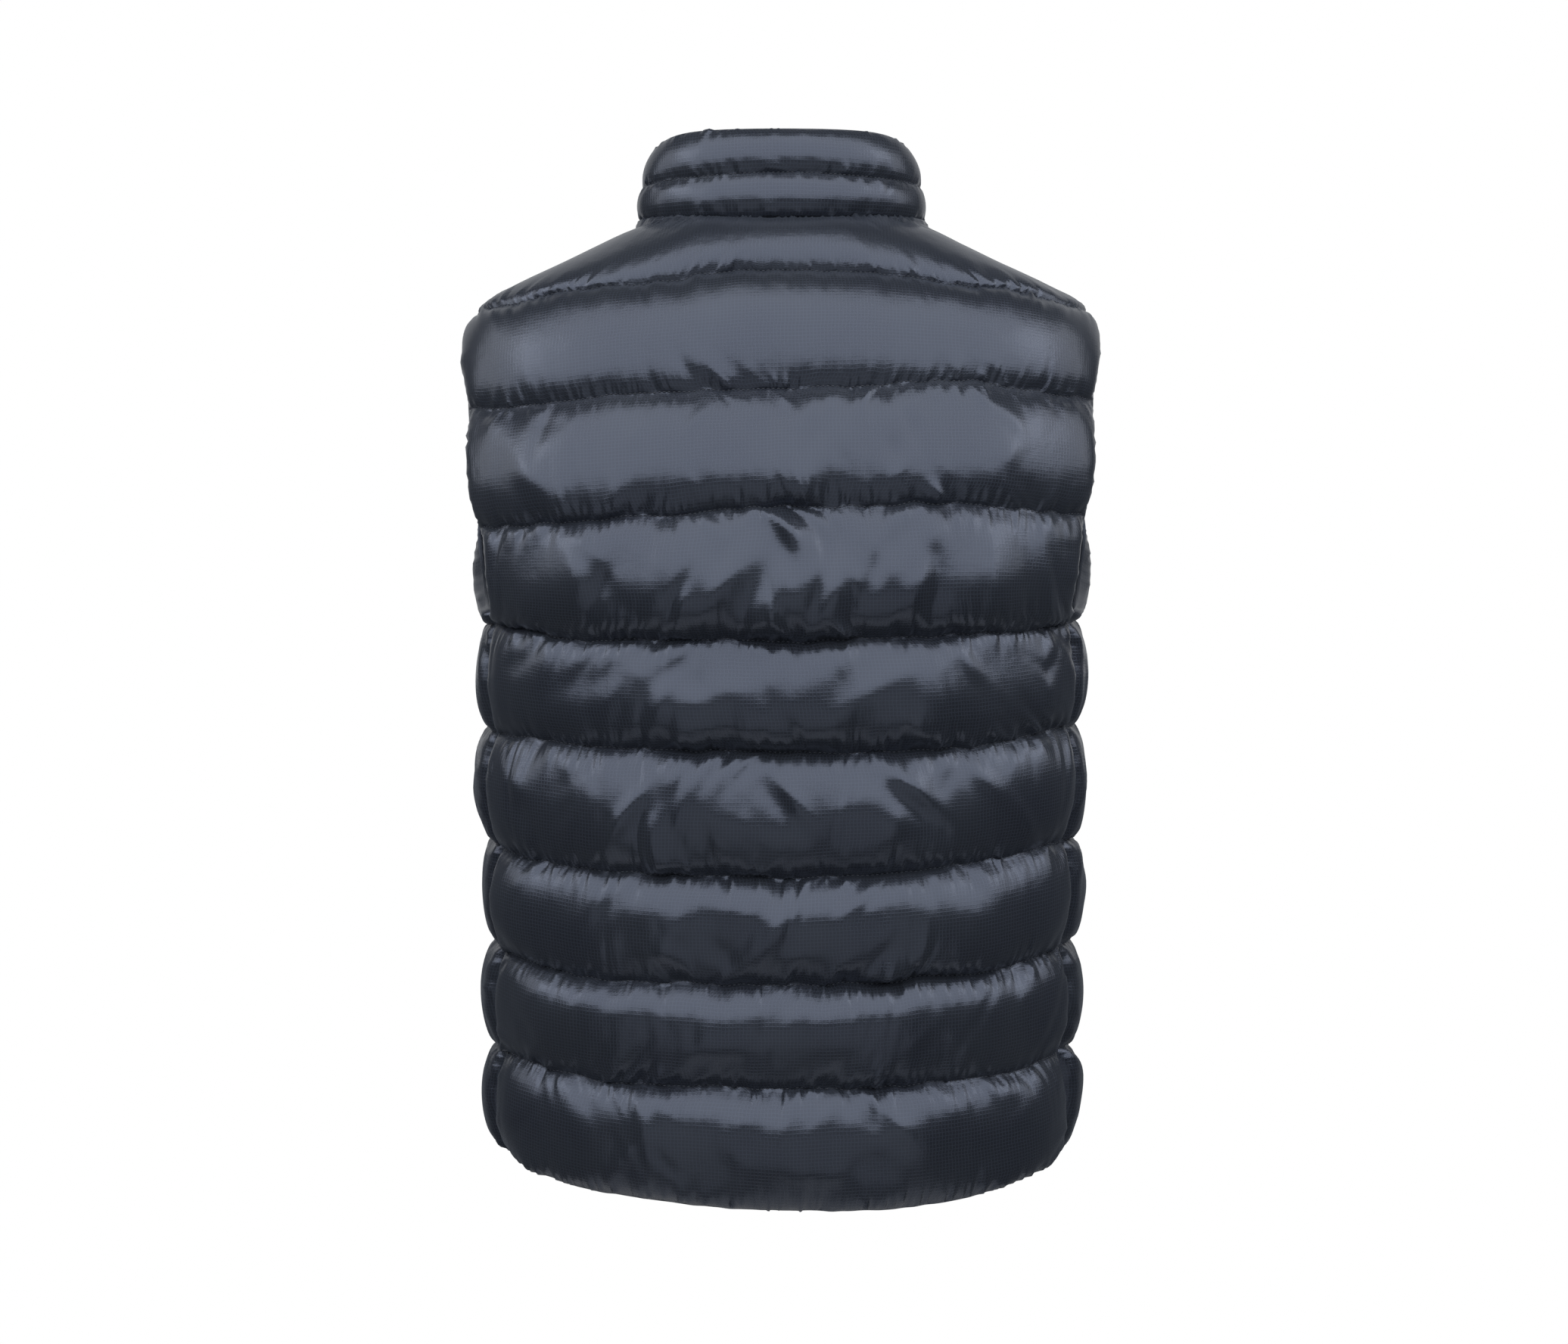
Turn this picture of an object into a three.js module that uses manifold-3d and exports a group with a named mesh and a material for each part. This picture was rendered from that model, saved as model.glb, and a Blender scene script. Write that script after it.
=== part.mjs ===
// A quilted, zip-fronted vest, filled out as if worn. Millimetres, +Z up.
// The front faces -Y and the wearer's left is +X. The origin is level with the two neck points,
// where the shoulder seams meet the collar, midway between them.
import * as THREE from "three";
import Module from "manifold-3d";

const wasm = await Module();
wasm.setup();

// Driving dimensions.
const WALL = 3; // the layers where they are stitched flat
const BODY_LOFT = 14; // how far a channel stands above its stitch lines, at the back and front
const SIDE_LOFT = 9; // and at the sides, where the wearer's arms press it
const COLLAR_LOFT = 8;
const COLLAR_SIDE_LOFT = 2;
const SEAM_GAP = 0.3; // between pieces that are sewn together
const COLLAR_GAP = 0.6; // under the collar, where its seam curves two ways
const SIDE_SEAM_Y = 58; // the side seam lies behind the widest point
const SHOULDER_SEAM_Y = -15; // and the shoulder seam lies in front of the crest
const ARMHOLE = { top: -66, bottom: -276, backReach: 42, frontReach: 80 };
const FRONT_EDGE_X = 9; // from the centre front to the edge of each front panel
const FRONT_TOP_Z = -4; // where the front panel's tip stops, under the collar
const COLLAR_HEIGHT = 57;
const COLLAR_LEAN = 7; // how far its top leans in

// The surface that the stitch lines lie in, section by section. square is the exponent of the
// section's outline: 2 is an ellipse, and more is boxier. Above the armholes, half is where the
// section would reach if the armhole weren't cut away, and at the top it follows the shoulders.
const SECTIONS = [
  { z: -674, half: 203, back: 134, front: 128, square: 2.5 },
  { z: -587, half: 205, back: 133, front: 127, square: 2.5 },
  { z: -519, half: 205, back: 131, front: 126, square: 2.5 },
  { z: -446, half: 207, back: 129, front: 126, square: 2.5 },
  { z: -365, half: 209, back: 130, front: 127, square: 2.5 },
  { z: -291, half: 208, back: 136, front: 128, square: 2.5 },
  { z: -254, half: 216, back: 141, front: 126, square: 2.5 },
  { z: -206, half: 232, back: 137, front: 122, square: 2.45 },
  { z: -139, half: 230, back: 121, front: 113, square: 2.4 },
  { z: -100, half: 224, back: 108.5, front: 105, square: 2.35 },
  { z: -78, half: 222, back: 101, front: 99, square: 2.3 },
  { z: -66, half: 217, back: 96.5, front: 95, square: 2.3 },
  { z: -54, half: 195, back: 91.5, front: 91, square: 2.25 },
  { z: -36, half: 153, back: 82, front: 85, square: 2.2 },
  { z: -18, half: 119, back: 70.5, front: 78, square: 2.15 },
  { z: -8, half: 104, back: 63, front: 74, square: 2.1 },
  { z: 4, half: 99.5, back: 58, front: 70, square: 2.1 },
];

// The quilting, from the hem up, as heights at the centre back, the side and the centre front.
const LINES = [
  { name: "hem", back: -674, side: -664, front: -670 },
  { name: "line 1", back: -587, side: -591, front: -590 },
  { name: "line 2", back: -519, side: -514, front: -516 },
  { name: "line 3", back: -446, side: -438, front: -441 },
  { name: "line 4", back: -365, side: -357, front: -361 },
  { name: "line 5", back: -291, side: -283, front: -286 },
  { name: "line 6", back: -206, side: -213, front: -211 },
  { name: "line 7", back: -127, side: -132, front: -135 },
  { name: "line 8", back: -46, side: -68, front: -68 },
];
const NECK = { name: "neck", back: -6, side: 2, front: -80 };
const FRONT_TIP = { name: "front tip", back: FRONT_TOP_Z, side: FRONT_TOP_Z, front: FRONT_TOP_Z };

// Where rows lie across one channel, as shares of it: close together beside the stitching.
const OUTER_ROWS = [0, 0.1, 0.3, 0.5, 0.7, 0.9];
const INNER_ROWS = [0, 0.5];

const ROW_SAMPLES = 72;
const OUTER_EDGE = [0, 3, 9, 18]; // distances from a panel's edge, where its loft dies away
const INNER_EDGE = [0, 18];
const TAPER = { side: 24, zip: 16, collarEnd: 12 };
const ROUNDNESS = 0.75; // under 1 makes a channel fuller beside its stitching

const NAVY = new THREE.MeshStandardMaterial({ color: 0x1a2130, roughness: 0.38, metalness: 0 });
const TAPE_NAVY = new THREE.MeshStandardMaterial({ color: 0x141a26, roughness: 0.85, metalness: 0 });
const ZIP_BLACK = new THREE.MeshStandardMaterial({ color: 0x17191d, roughness: 0.4, metalness: 0.3 });

// A smooth curve through the table's values of one column, at height z.
function sectionValue(column, z) {
  const last = SECTIONS.length - 1;
  const clamped = THREE.MathUtils.clamp(z, SECTIONS[0].z, SECTIONS[last].z);
  let i = 0;
  while (i < last - 1 && SECTIONS[i + 1].z < clamped) i++;
  const slope = (j) => {
    const a = SECTIONS[Math.max(j - 1, 0)];
    const b = SECTIONS[Math.min(j + 1, last)];
    return (b[column] - a[column]) / (b.z - a.z);
  };
  const low = SECTIONS[i];
  const high = SECTIONS[i + 1];
  const step = high.z - low.z;
  const t = (clamped - low.z) / step;
  const keepLow = (1 + 2 * t) * (1 - t) ** 2;
  const keepHigh = t * t * (3 - 2 * t);
  return (
    keepLow * low[column] +
    t * (1 - t) ** 2 * step * slope(i) +
    keepHigh * high[column] -
    t * t * (1 - t) * step * slope(i + 1)
  );
}

// A point of the stitch surface. The angle is 0 at the wearer's left side, 90 degrees at the
// centre back and -90 at the centre front.
function surfacePoint(angle, z) {
  const cos = Math.cos(angle);
  const sin = Math.sin(angle);
  const power = sectionValue("square", z);
  const depth = sectionValue(sin > 0 ? "back" : "front", z);
  const across = Math.abs(cos) / sectionValue("half", z);
  const along = Math.abs(sin) / depth;
  const radius = (across ** power + along ** power) ** (-1 / power);
  return new THREE.Vector3(radius * cos, radius * sin, z);
}

function surfaceNormal(angle, z) {
  const turn = 0.002;
  const rise = 0.5;
  const around = surfacePoint(angle + turn, z).sub(surfacePoint(angle - turn, z));
  const top = Math.min(z + rise, SECTIONS.at(-1).z);
  const up = surfacePoint(angle, top).sub(surfacePoint(angle, top - 2 * rise));
  return around.cross(up).normalize();
}

// The angle at which a section crosses a given depth y, on the wearer's left.
function angleAtDepth(y, z) {
  const power = sectionValue("square", z);
  const depth = sectionValue(y > 0 ? "back" : "front", z);
  const x = sectionValue("half", z) * (1 - (Math.abs(y) / depth) ** power) ** (1 / power);
  return Math.atan2(y, x);
}

// The angle at which a section of the front crosses a given x, on the wearer's left.
function angleAtWidth(x, z) {
  const power = sectionValue("square", z);
  const y = sectionValue("front", z) * (1 - (x / sectionValue("half", z)) ** power) ** (1 / power);
  return Math.atan2(-y, x);
}

// The height of a quilting line at an angle. It arches more evenly across the back.
function lineHeight(line, angle) {
  const sin = Math.sin(angle);
  return sin > 0 ? line.side + (line.back - line.side) * sin : line.side + (line.front - line.side) * sin ** 2;
}

// A row of the grid: the quilting lines under and over it, and its share of the way up.
function rowHeight(row, angle) {
  return THREE.MathUtils.lerp(lineHeight(row.under, angle), lineHeight(row.over, angle), row.share);
}

// How deep the outer edge of a panel lies at height z: side seam, armhole, then shoulder seam.
function edgeDepth(panel, z) {
  if (z <= ARMHOLE.bottom) return SIDE_SEAM_Y;
  if (z >= ARMHOLE.top) return SHOULDER_SEAM_Y;
  const middle = (ARMHOLE.top + ARMHOLE.bottom) / 2;
  const reach = Math.sqrt(1 - ((z - middle) / (ARMHOLE.top - middle)) ** 2);
  const share = (z - ARMHOLE.bottom) / (ARMHOLE.top - ARMHOLE.bottom);
  const centre = THREE.MathUtils.lerp(SIDE_SEAM_Y, SHOULDER_SEAM_Y, share);
  return centre + (panel === "back" ? ARMHOLE.backReach : -ARMHOLE.frontReach) * reach;
}

// Where a row meets the outer edge of its panel, as an angle on the wearer's left.
function edgeAngle(panel, row) {
  let angle = 0;
  for (let i = 0; i < 12; i++) {
    const z = rowHeight(row, angle);
    angle = (angle + angleAtDepth(edgeDepth(panel, z), z)) / 2;
  }
  return angle;
}

// Where a row of the front panel ends: at its zip edge, or higher up at the neckline.
function innerAngle(row) {
  let angle = -Math.PI / 2;
  for (let i = 0; i < 12; i++) {
    const z = rowHeight(row, angle);
    const zipEdge = angleAtWidth(FRONT_EDGE_X, z);
    const fall = THREE.MathUtils.clamp((NECK.side - z) / (NECK.side - NECK.front), 0, 1);
    const neckline = -Math.asin(Math.sqrt(fall));
    angle = (angle + Math.max(zipEdge, neckline)) / 2;
  }
  return angle;
}

// Rows from the hem to the top line, at the given shares of each channel.
function rowsBetween(lines, shares) {
  const rows = [];
  lines.slice(0, -1).forEach((under, i) => {
    shares.forEach((share) => rows.push({ under, over: lines[i + 1], share }));
  });
  rows.push({ under: lines.at(-2), over: lines.at(-1), share: 1 });
  return rows;
}

// Distances along a row of a given length: close together at both ends, even between them.
function columnDistances(length, edge, middleColumns) {
  const inset = SEAM_GAP / 2;
  const room = length - 2 * inset;
  const squeeze = Math.min(1, room / (3 * edge.at(-1)));
  const ends = edge.map((d) => d * squeeze);
  const last = ends.at(-1);
  const middle = [];
  for (let i = 1; i < middleColumns; i++) {
    middle.push(last + ((room - 2 * last) * i) / middleColumns);
  }
  const mirrored = ends.map((d) => room - d).reverse();
  return [...ends, ...middle, ...mirrored].map((d) => d + inset);
}

// Points and normals along one row, at the given count of columns.
function rowOfPoints(row, from, to, edge, middleColumns) {
  const samples = [];
  let length = 0;
  for (let i = 0; i <= ROW_SAMPLES; i++) {
    const angle = THREE.MathUtils.lerp(from, to, i / ROW_SAMPLES);
    const point = surfacePoint(angle, rowHeight(row, angle));
    if (i > 0) length += point.distanceTo(samples.at(-1).point);
    samples.push({ angle, point, length });
  }
  return columnDistances(length, edge, middleColumns).map((distance) => {
    let i = 1;
    while (i < ROW_SAMPLES && samples[i].length < distance) i++;
    const before = samples[i - 1];
    const after = samples[i];
    const t = (distance - before.length) / (after.length - before.length);
    const angle = THREE.MathUtils.lerp(before.angle, after.angle, t);
    const z = rowHeight(row, angle);
    return {
      base: surfacePoint(angle, z),
      normal: surfaceNormal(angle, z),
      facing: Math.sin(angle) ** 2,
      fromStart: distance,
      fromEnd: length - distance,
    };
  });
}

// A channel's rounded section: 0 at both stitch lines and 1 at the crown.
function channelProfile(share) {
  return Math.sin(Math.PI * share) ** ROUNDNESS;
}

// The loft dies away towards an edge of the panel over the taper's length.
function edgeProfile(distance, taper) {
  return Math.sin((Math.PI / 2) * Math.min(1, Math.max(0, distance) / taper)) ** ROUNDNESS;
}

// Triangles between two polylines that share their first and last directions of travel.
function stitchStrips(positions, outer, inner, flip, triangles) {
  const distance = (a, b) => positions[a].distanceTo(positions[b]);
  let i = 0;
  let j = 0;
  while (i < outer.length - 1 || j < inner.length - 1) {
    const canOuter = i < outer.length - 1;
    const canInner = j < inner.length - 1;
    const viaOuter = canOuter ? distance(outer[i + 1], inner[j]) : Infinity;
    const viaInner = canInner ? distance(outer[i], inner[j + 1]) : Infinity;
    const triangle =
      viaOuter <= viaInner
        ? [outer[i], outer[++i], inner[j]]
        : [outer[i], inner[j + 1], inner[j++]];
    triangles.push(flip ? triangle.reverse() : triangle);
  }
}

// A closed wall from a fine outer grid and a plainer inner one. Rows run up, columns run across.
function wallGeometry(outer, inner) {
  const positions = [...outer.flat(), ...inner.flat()];
  const triangles = [];
  const outerIndex = (r, c) => r * outer[0].length + c;
  const innerStart = outer.length * outer[0].length;
  const innerIndex = (r, c) => innerStart + r * inner[0].length + c;
  const addGrid = (grid, index, flip) => {
    for (let r = 0; r < grid.length - 1; r++) {
      for (let c = 0; c < grid[0].length - 1; c++) {
        const [a, b] = [index(r, c), index(r, c + 1)];
        const [d, e] = [index(r + 1, c), index(r + 1, c + 1)];
        const slanted = positions[a].distanceTo(positions[e]) <= positions[b].distanceTo(positions[d]);
        const pair = slanted ? [[a, b, e], [a, e, d]] : [[a, b, d], [b, e, d]];
        pair.forEach((t) => triangles.push(flip ? t.reverse() : t));
      }
    }
  };
  addGrid(outer, outerIndex, false);
  addGrid(inner, innerIndex, true);
  const rowOf = (grid, index, r) => grid[0].map((_, c) => index(r, c));
  const columnOf = (grid, index, c) => grid.map((_, r) => index(r, c));
  const [topOuter, topInner] = [outer.length - 1, inner.length - 1];
  const [endOuter, endInner] = [outer[0].length - 1, inner[0].length - 1];
  const rims = [
    [rowOf(outer, outerIndex, 0), rowOf(inner, innerIndex, 0), true],
    [rowOf(outer, outerIndex, topOuter), rowOf(inner, innerIndex, topInner), false],
    [columnOf(outer, outerIndex, 0), columnOf(inner, innerIndex, 0), false],
    [columnOf(outer, outerIndex, endOuter), columnOf(inner, innerIndex, endInner), true],
  ];
  rims.forEach(([a, b, flip]) => stitchStrips(positions, a, b, flip, triangles));
  const geometry = new THREE.BufferGeometry().setFromPoints(positions);
  geometry.setIndex(triangles.flat());
  geometry.computeVertexNormals();
  return geometry;
}

// One body panel. ends gives each row's first and last angle, and tapers the loft's fade there.
function panelGeometry(lines, ends, tapers, outerColumns, innerColumns) {
  const outer = rowsBetween(lines, OUTER_ROWS).map((row) => {
    const [from, to] = ends(row);
    return rowOfPoints(row, from, to, OUTER_EDGE, outerColumns).map((point) => {
      const fade = edgeProfile(point.fromStart, tapers.start) * edgeProfile(point.fromEnd, tapers.end);
      const loft = THREE.MathUtils.lerp(SIDE_LOFT, BODY_LOFT, point.facing);
      const rise = loft * channelProfile(row.share % 1) * fade;
      return point.base.addScaledVector(point.normal, rise);
    });
  });
  const inner = rowsBetween(lines, INNER_ROWS).map((row) => {
    const [from, to] = ends(row);
    const points = rowOfPoints(row, from, to, INNER_EDGE, innerColumns);
    return points.map(({ base, normal }) => base.addScaledVector(normal, -WALL));
  });
  return wallGeometry(outer, inner);
}

function backGeometry() {
  const ends = (row) => {
    const edge = edgeAngle("back", row);
    return [edge, Math.PI - edge];
  };
  return panelGeometry([...LINES, NECK], ends, { start: TAPER.side, end: TAPER.side }, 22, 16);
}

// The left front. The right front is its mirror image.
function frontGeometry() {
  const ends = (row) => [innerAngle(row), edgeAngle("front", row)];
  const tapers = { start: TAPER.zip, end: TAPER.side };
  return panelGeometry([...LINES, FRONT_TIP], ends, tapers, 10, 8);
}

// The collar's seam with the body, from the wearer's left front round the back to the right.
function neckline(edge, columns) {
  const start = angleAtWidth(FRONT_EDGE_X, NECK.front);
  const row = { under: NECK, over: NECK, share: 0 };
  const seam = rowOfPoints(row, start, Math.PI - start, edge, columns);
  return seam.map(({ base, facing, fromStart, fromEnd }, i) => {
    const before = seam[Math.max(i - 1, 0)].base;
    const after = seam[Math.min(i + 1, seam.length - 1)].base;
    const outward = new THREE.Vector3(after.y - before.y, before.x - after.x, 0).normalize();
    const fade = edgeProfile(Math.min(fromStart, fromEnd), TAPER.collarEnd);
    return { base, outward, loft: fade * THREE.MathUtils.lerp(COLLAR_SIDE_LOFT, COLLAR_LOFT, facing) };
  });
}

// The collar leans in mostly towards its top. height is a share of its own.
function collarLean(height) {
  return COLLAR_LEAN * height ** 3;
}

// The collar stands on the neckline, in two channels.
function collarGeometry() {
  const wall = (seam, shares, offset) => {
    const lower = shares.map((share) => ({ share, height: share / 2 }));
    const upper = shares.map((share) => ({ share, height: (1 + share) / 2 }));
    return [...lower, ...upper, { share: 0, height: 1 }].map(({ share, height }) =>
      seam.map(({ base, outward, loft }) => {
        const point = base.clone().addScaledVector(outward, offset(share, loft) - collarLean(height));
        return point.setZ(base.z + COLLAR_GAP + height * (COLLAR_HEIGHT - COLLAR_GAP));
      }),
    );
  };
  const puff = (share, loft) => loft * channelProfile(share);
  return wallGeometry(
    wall(neckline(OUTER_EDGE, 30), OUTER_ROWS, puff),
    wall(neckline(INNER_EDGE, 24), INNER_ROWS, () => -WALL),
  );
}

// The zip runs up the centre front, from the hem to just under the top of the collar.
const ZIP = { top: NECK.front + COLLAR_HEIGHT - 4, bottom: LINES[0].front + 2 };
const TAPE = { thick: 1, gap: 0.8, innerX: 1.2, outerX: 16, bodySteps: 40, collarSteps: 5 };

// How deep the stitch surface lies near the centre front, which is the collar's over the neckline.
function zipDepth(x, z) {
  let seam = NECK.front;
  for (let i = 0; i < 6; i++) seam = lineHeight(NECK, angleAtWidth(x, seam));
  const height = Math.min(z, seam);
  return surfacePoint(angleAtWidth(x, height), height).y + collarLean((z - height) / COLLAR_HEIGHT);
}

// A tape lies behind the edges of a front and of the collar, and stops short of its fellow.
function tapeGeometry() {
  const widths = [TAPE.innerX, FRONT_EDGE_X, TAPE.outerX];
  const heights = [];
  for (let i = 0; i < TAPE.bodySteps; i++) {
    heights.push(THREE.MathUtils.lerp(ZIP.bottom, NECK.front, i / TAPE.bodySteps));
  }
  for (let i = 0; i <= TAPE.collarSteps; i++) {
    heights.push(THREE.MathUtils.lerp(NECK.front, ZIP.top, i / TAPE.collarSteps));
  }
  const face = (depth) =>
    heights.map((z) =>
      widths.map((x) => new THREE.Vector3(x, zipDepth(x, z) + WALL + TAPE.gap + depth, z)),
    );
  return wallGeometry(face(0), face(TAPE.thick));
}

// Solids from boxes, for the hard parts of the zip.
function box(width, depth, height, x, y, z) {
  return new THREE.BoxGeometry(width, depth, height).translate(x, y, z);
}

function solidOf(geometry) {
  const flat = geometry.index ? geometry.toNonIndexed() : geometry;
  const corners = flat.getAttribute("position");
  const seen = new Map();
  const points = [];
  const triangles = new Uint32Array(corners.count);
  for (let i = 0; i < corners.count; i++) {
    const point = [corners.getX(i), corners.getY(i), corners.getZ(i)].map(Math.fround);
    const key = point.map((v) => v.toFixed(4)).join();
    if (!seen.has(key)) seen.set(key, points.push(point) - 1);
    triangles[i] = seen.get(key);
  }
  return new wasm.Manifold(
    new wasm.Mesh({ numProp: 3, vertProperties: new Float32Array(points.flat()), triVerts: triangles }),
  );
}

function geometryOf(solid) {
  const { vertProperties, triVerts } = solid.getMesh();
  const geometry = new THREE.BufferGeometry();
  geometry.setAttribute("position", new THREE.BufferAttribute(new Float32Array(vertProperties), 3));
  geometry.setIndex(new THREE.BufferAttribute(new Uint32Array(triVerts), 1));
  geometry.computeVertexNormals();
  return geometry;
}

function joined(geometries) {
  return geometryOf(geometries.map(solidOf).reduce((all, next) => all.add(next)));
}

// The slider: two plates with a wedge between the tapes, and a bridge in front for the pull.
const SLIDER = { width: 9, height: 12, plate: 1.2, reach: 1.6, bridge: 1.2, span: 7.2, gap: 2.4 };
const SLIDER_Z = ZIP.top - 12;
const TAPE_Y = zipDepth(TAPE.innerX, SLIDER_Z) + WALL + TAPE.gap + TAPE.thick / 2;
const FRONT_PLATE_Y = TAPE_Y - TAPE.thick / 2 - SLIDER.reach - SLIDER.plate / 2;
const BACK_PLATE_Y = TAPE_Y + TAPE.thick / 2 + SLIDER.reach + SLIDER.plate / 2;
const PLATE_FACE_Y = FRONT_PLATE_Y - SLIDER.plate / 2;
const BRIDGE_Y = PLATE_FACE_Y - SLIDER.gap - SLIDER.bridge / 2;
function sliderGeometry() {
  const wedge = 1.5;
  const legReach = SLIDER.gap + SLIDER.bridge + 0.2;
  const legY = PLATE_FACE_Y - legReach / 2 + 0.2;
  const legZ = SLIDER.span / 2 - SLIDER.bridge / 2;
  const plates = [FRONT_PLATE_Y, BACK_PLATE_Y].map((y) =>
    box(SLIDER.width, SLIDER.plate, SLIDER.height, 0, y, 0),
  );
  const post = box(wedge, BACK_PLATE_Y - FRONT_PLATE_Y, SLIDER.height * 0.7, 0, TAPE_Y, 0);
  const bridge = box(SLIDER.bridge, SLIDER.bridge, SLIDER.span, 0, BRIDGE_Y, 0);
  const legs = [-legZ, legZ].map((z) => box(SLIDER.bridge, legReach, SLIDER.bridge, 0, legY, z));
  return joined([...plates, post, bridge, ...legs]);
}

// The pull hangs from a bar that passes behind the slider's bridge. Its own origin is that bar.
const PULL = { width: 6.6, thick: 1.4, arm: 1.3, eye: 5.2, length: 30 };
const PULL_Y = PLATE_FACE_Y - SLIDER.gap / 2;
function pullGeometry() {
  const armX = (PULL.width - PULL.arm) / 2;
  const bar = new THREE.CylinderGeometry(PULL.thick / 2, PULL.thick / 2, PULL.width, 12).rotateZ(Math.PI / 2);
  const arms = [-armX, armX].map((x) =>
    box(PULL.arm, PULL.thick, PULL.eye + 1, x, 0, -(PULL.eye + 1) / 2),
  );
  const tabLength = PULL.length - PULL.eye;
  const tab = new THREE.Shape();
  const half = PULL.width / 2;
  tab.moveTo(-half, 0);
  tab.lineTo(-half, -tabLength + half);
  tab.absarc(0, -tabLength + half, half, Math.PI, 2 * Math.PI, false);
  tab.lineTo(half, 0);
  tab.closePath();
  const plate = new THREE.ExtrudeGeometry(tab, { depth: PULL.thick, bevelEnabled: false, curveSegments: 8 })
    .rotateX(Math.PI / 2)
    .translate(0, PULL.thick / 2, -PULL.eye);
  return joined([bar, ...arms, plate]);
}

// The box that the zip's pin seats in, at the hem.
const FOOT = { width: 8, depth: 2.2, height: 11 };
function footGeometry() {
  const z = ZIP.bottom + FOOT.height / 2;
  const tapeFace = zipDepth(TAPE.innerX, z) + WALL + TAPE.gap;
  return box(FOOT.width, FOOT.depth, FOOT.height, 0, tapeFace - SEAM_GAP - FOOT.depth / 2, z);
}

function piece(name, geometry, material) {
  const mesh = new THREE.Mesh(geometry, material);
  mesh.name = name;
  return mesh;
}

function mirrored(mesh, name) {
  const twin = mesh.clone();
  twin.name = name;
  twin.scale.x = -1;
  return twin;
}

const vest = new THREE.Group();
const frontLeft = piece("front_left", frontGeometry(), NAVY);
const tapeLeft = piece("zip_tape_left", tapeGeometry(), TAPE_NAVY);
const slider = piece("zip_slider", sliderGeometry(), ZIP_BLACK);
const pull = piece("zip_pull", pullGeometry(), ZIP_BLACK);
slider.position.set(0, 0, SLIDER_Z);
pull.position.set(0, PULL_Y, SLIDER_Z);
vest.add(piece("back", backGeometry(), NAVY), piece("collar", collarGeometry(), NAVY));
vest.add(frontLeft, mirrored(frontLeft, "front_right"));
vest.add(tapeLeft, mirrored(tapeLeft, "zip_tape_right"));
vest.add(slider, pull, piece("zip_box", footGeometry(), ZIP_BLACK));

export default vest;
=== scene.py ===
# A quilted vest, filled out as if worn. Lengths in the tables are millimetres, in the model's frame:
# +Z up, the front faces -Y, the wearer's left is +X, and the origin is between the neck points.
import itertools
import math

import bmesh
import bpy
import numpy as np
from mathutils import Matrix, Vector


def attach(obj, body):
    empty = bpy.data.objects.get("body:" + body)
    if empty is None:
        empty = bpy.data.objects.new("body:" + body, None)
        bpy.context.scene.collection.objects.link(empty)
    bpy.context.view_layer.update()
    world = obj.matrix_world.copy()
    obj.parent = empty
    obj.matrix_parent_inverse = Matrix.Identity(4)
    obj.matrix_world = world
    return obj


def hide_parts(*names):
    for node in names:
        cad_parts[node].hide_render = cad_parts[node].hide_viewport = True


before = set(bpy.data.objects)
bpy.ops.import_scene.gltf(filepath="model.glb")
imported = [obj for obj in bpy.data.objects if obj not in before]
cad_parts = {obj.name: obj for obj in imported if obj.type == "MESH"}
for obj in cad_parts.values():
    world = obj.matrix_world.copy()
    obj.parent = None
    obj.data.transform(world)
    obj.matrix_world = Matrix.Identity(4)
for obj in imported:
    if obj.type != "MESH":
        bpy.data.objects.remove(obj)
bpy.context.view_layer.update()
MM = 0.001

# Sizes that the panels share with the solids.
WALL = 3.0
BODY_LOFT = 14.0
SIDE_LOFT = 9.0
COLLAR_LOFT = 5.0
COLLAR_SIDE_LOFT = 2.0
SEAM_GAP = 0.06
COLLAR_GAP = 0.15
SIDE_SEAM_Y = 58.0
SHOULDER_SEAM_Y = -15.0
ARMHOLE = {"top": -66.0, "bottom": -276.0, "back_reach": 42.0, "front_reach": 80.0}
FRONT_EDGE_X = 9.0
FRONT_TOP_Z = -4.0
COLLAR_HEIGHT = 57.0
COLLAR_LEAN = 7.0
ROUNDNESS = 0.75
TAPER_SIDE = 7.0
TAPER_ZIP = 16.0
TAPER_COLLAR = 12.0

# The surface that the stitch lines lie in: height, half width, back depth, front depth, squareness.
SECTIONS = np.array(
    [
        (-674, 203, 134, 128, 2.5),
        (-587, 205, 133, 127, 2.5),
        (-519, 205, 131, 126, 2.5),
        (-446, 207, 129, 126, 2.5),
        (-365, 209, 130, 127, 2.5),
        (-291, 208, 136, 128, 2.5),
        (-254, 216, 141, 126, 2.5),
        (-206, 232, 137, 122, 2.45),
        (-139, 230, 121, 113, 2.4),
        (-100, 224, 108.5, 105, 2.35),
        (-78, 222, 101, 99, 2.3),
        (-66, 217, 96.5, 95, 2.3),
        (-54, 195, 91.5, 91, 2.25),
        (-36, 153, 82, 85, 2.2),
        (-18, 119, 70.5, 78, 2.15),
        (-8, 104, 63, 74, 2.1),
        (4, 99.5, 58, 70, 2.1),
    ],
    dtype=float,
)
HALF, BACK_DEPTH, FRONT_DEPTH, SQUARE = 1, 2, 3, 4

# The quilting from the hem up: heights at the centre back, the side and the centre front.
LINES = np.array(
    [
        (-674, -656, -670),
        (-587, -591, -590),
        (-519, -514, -516),
        (-446, -438, -441),
        (-365, -357, -361),
        (-291, -283, -286),
        (-206, -213, -211),
        (-127, -132, -135),
        (-46, -68, -68),
    ],
    dtype=float,
)

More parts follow.
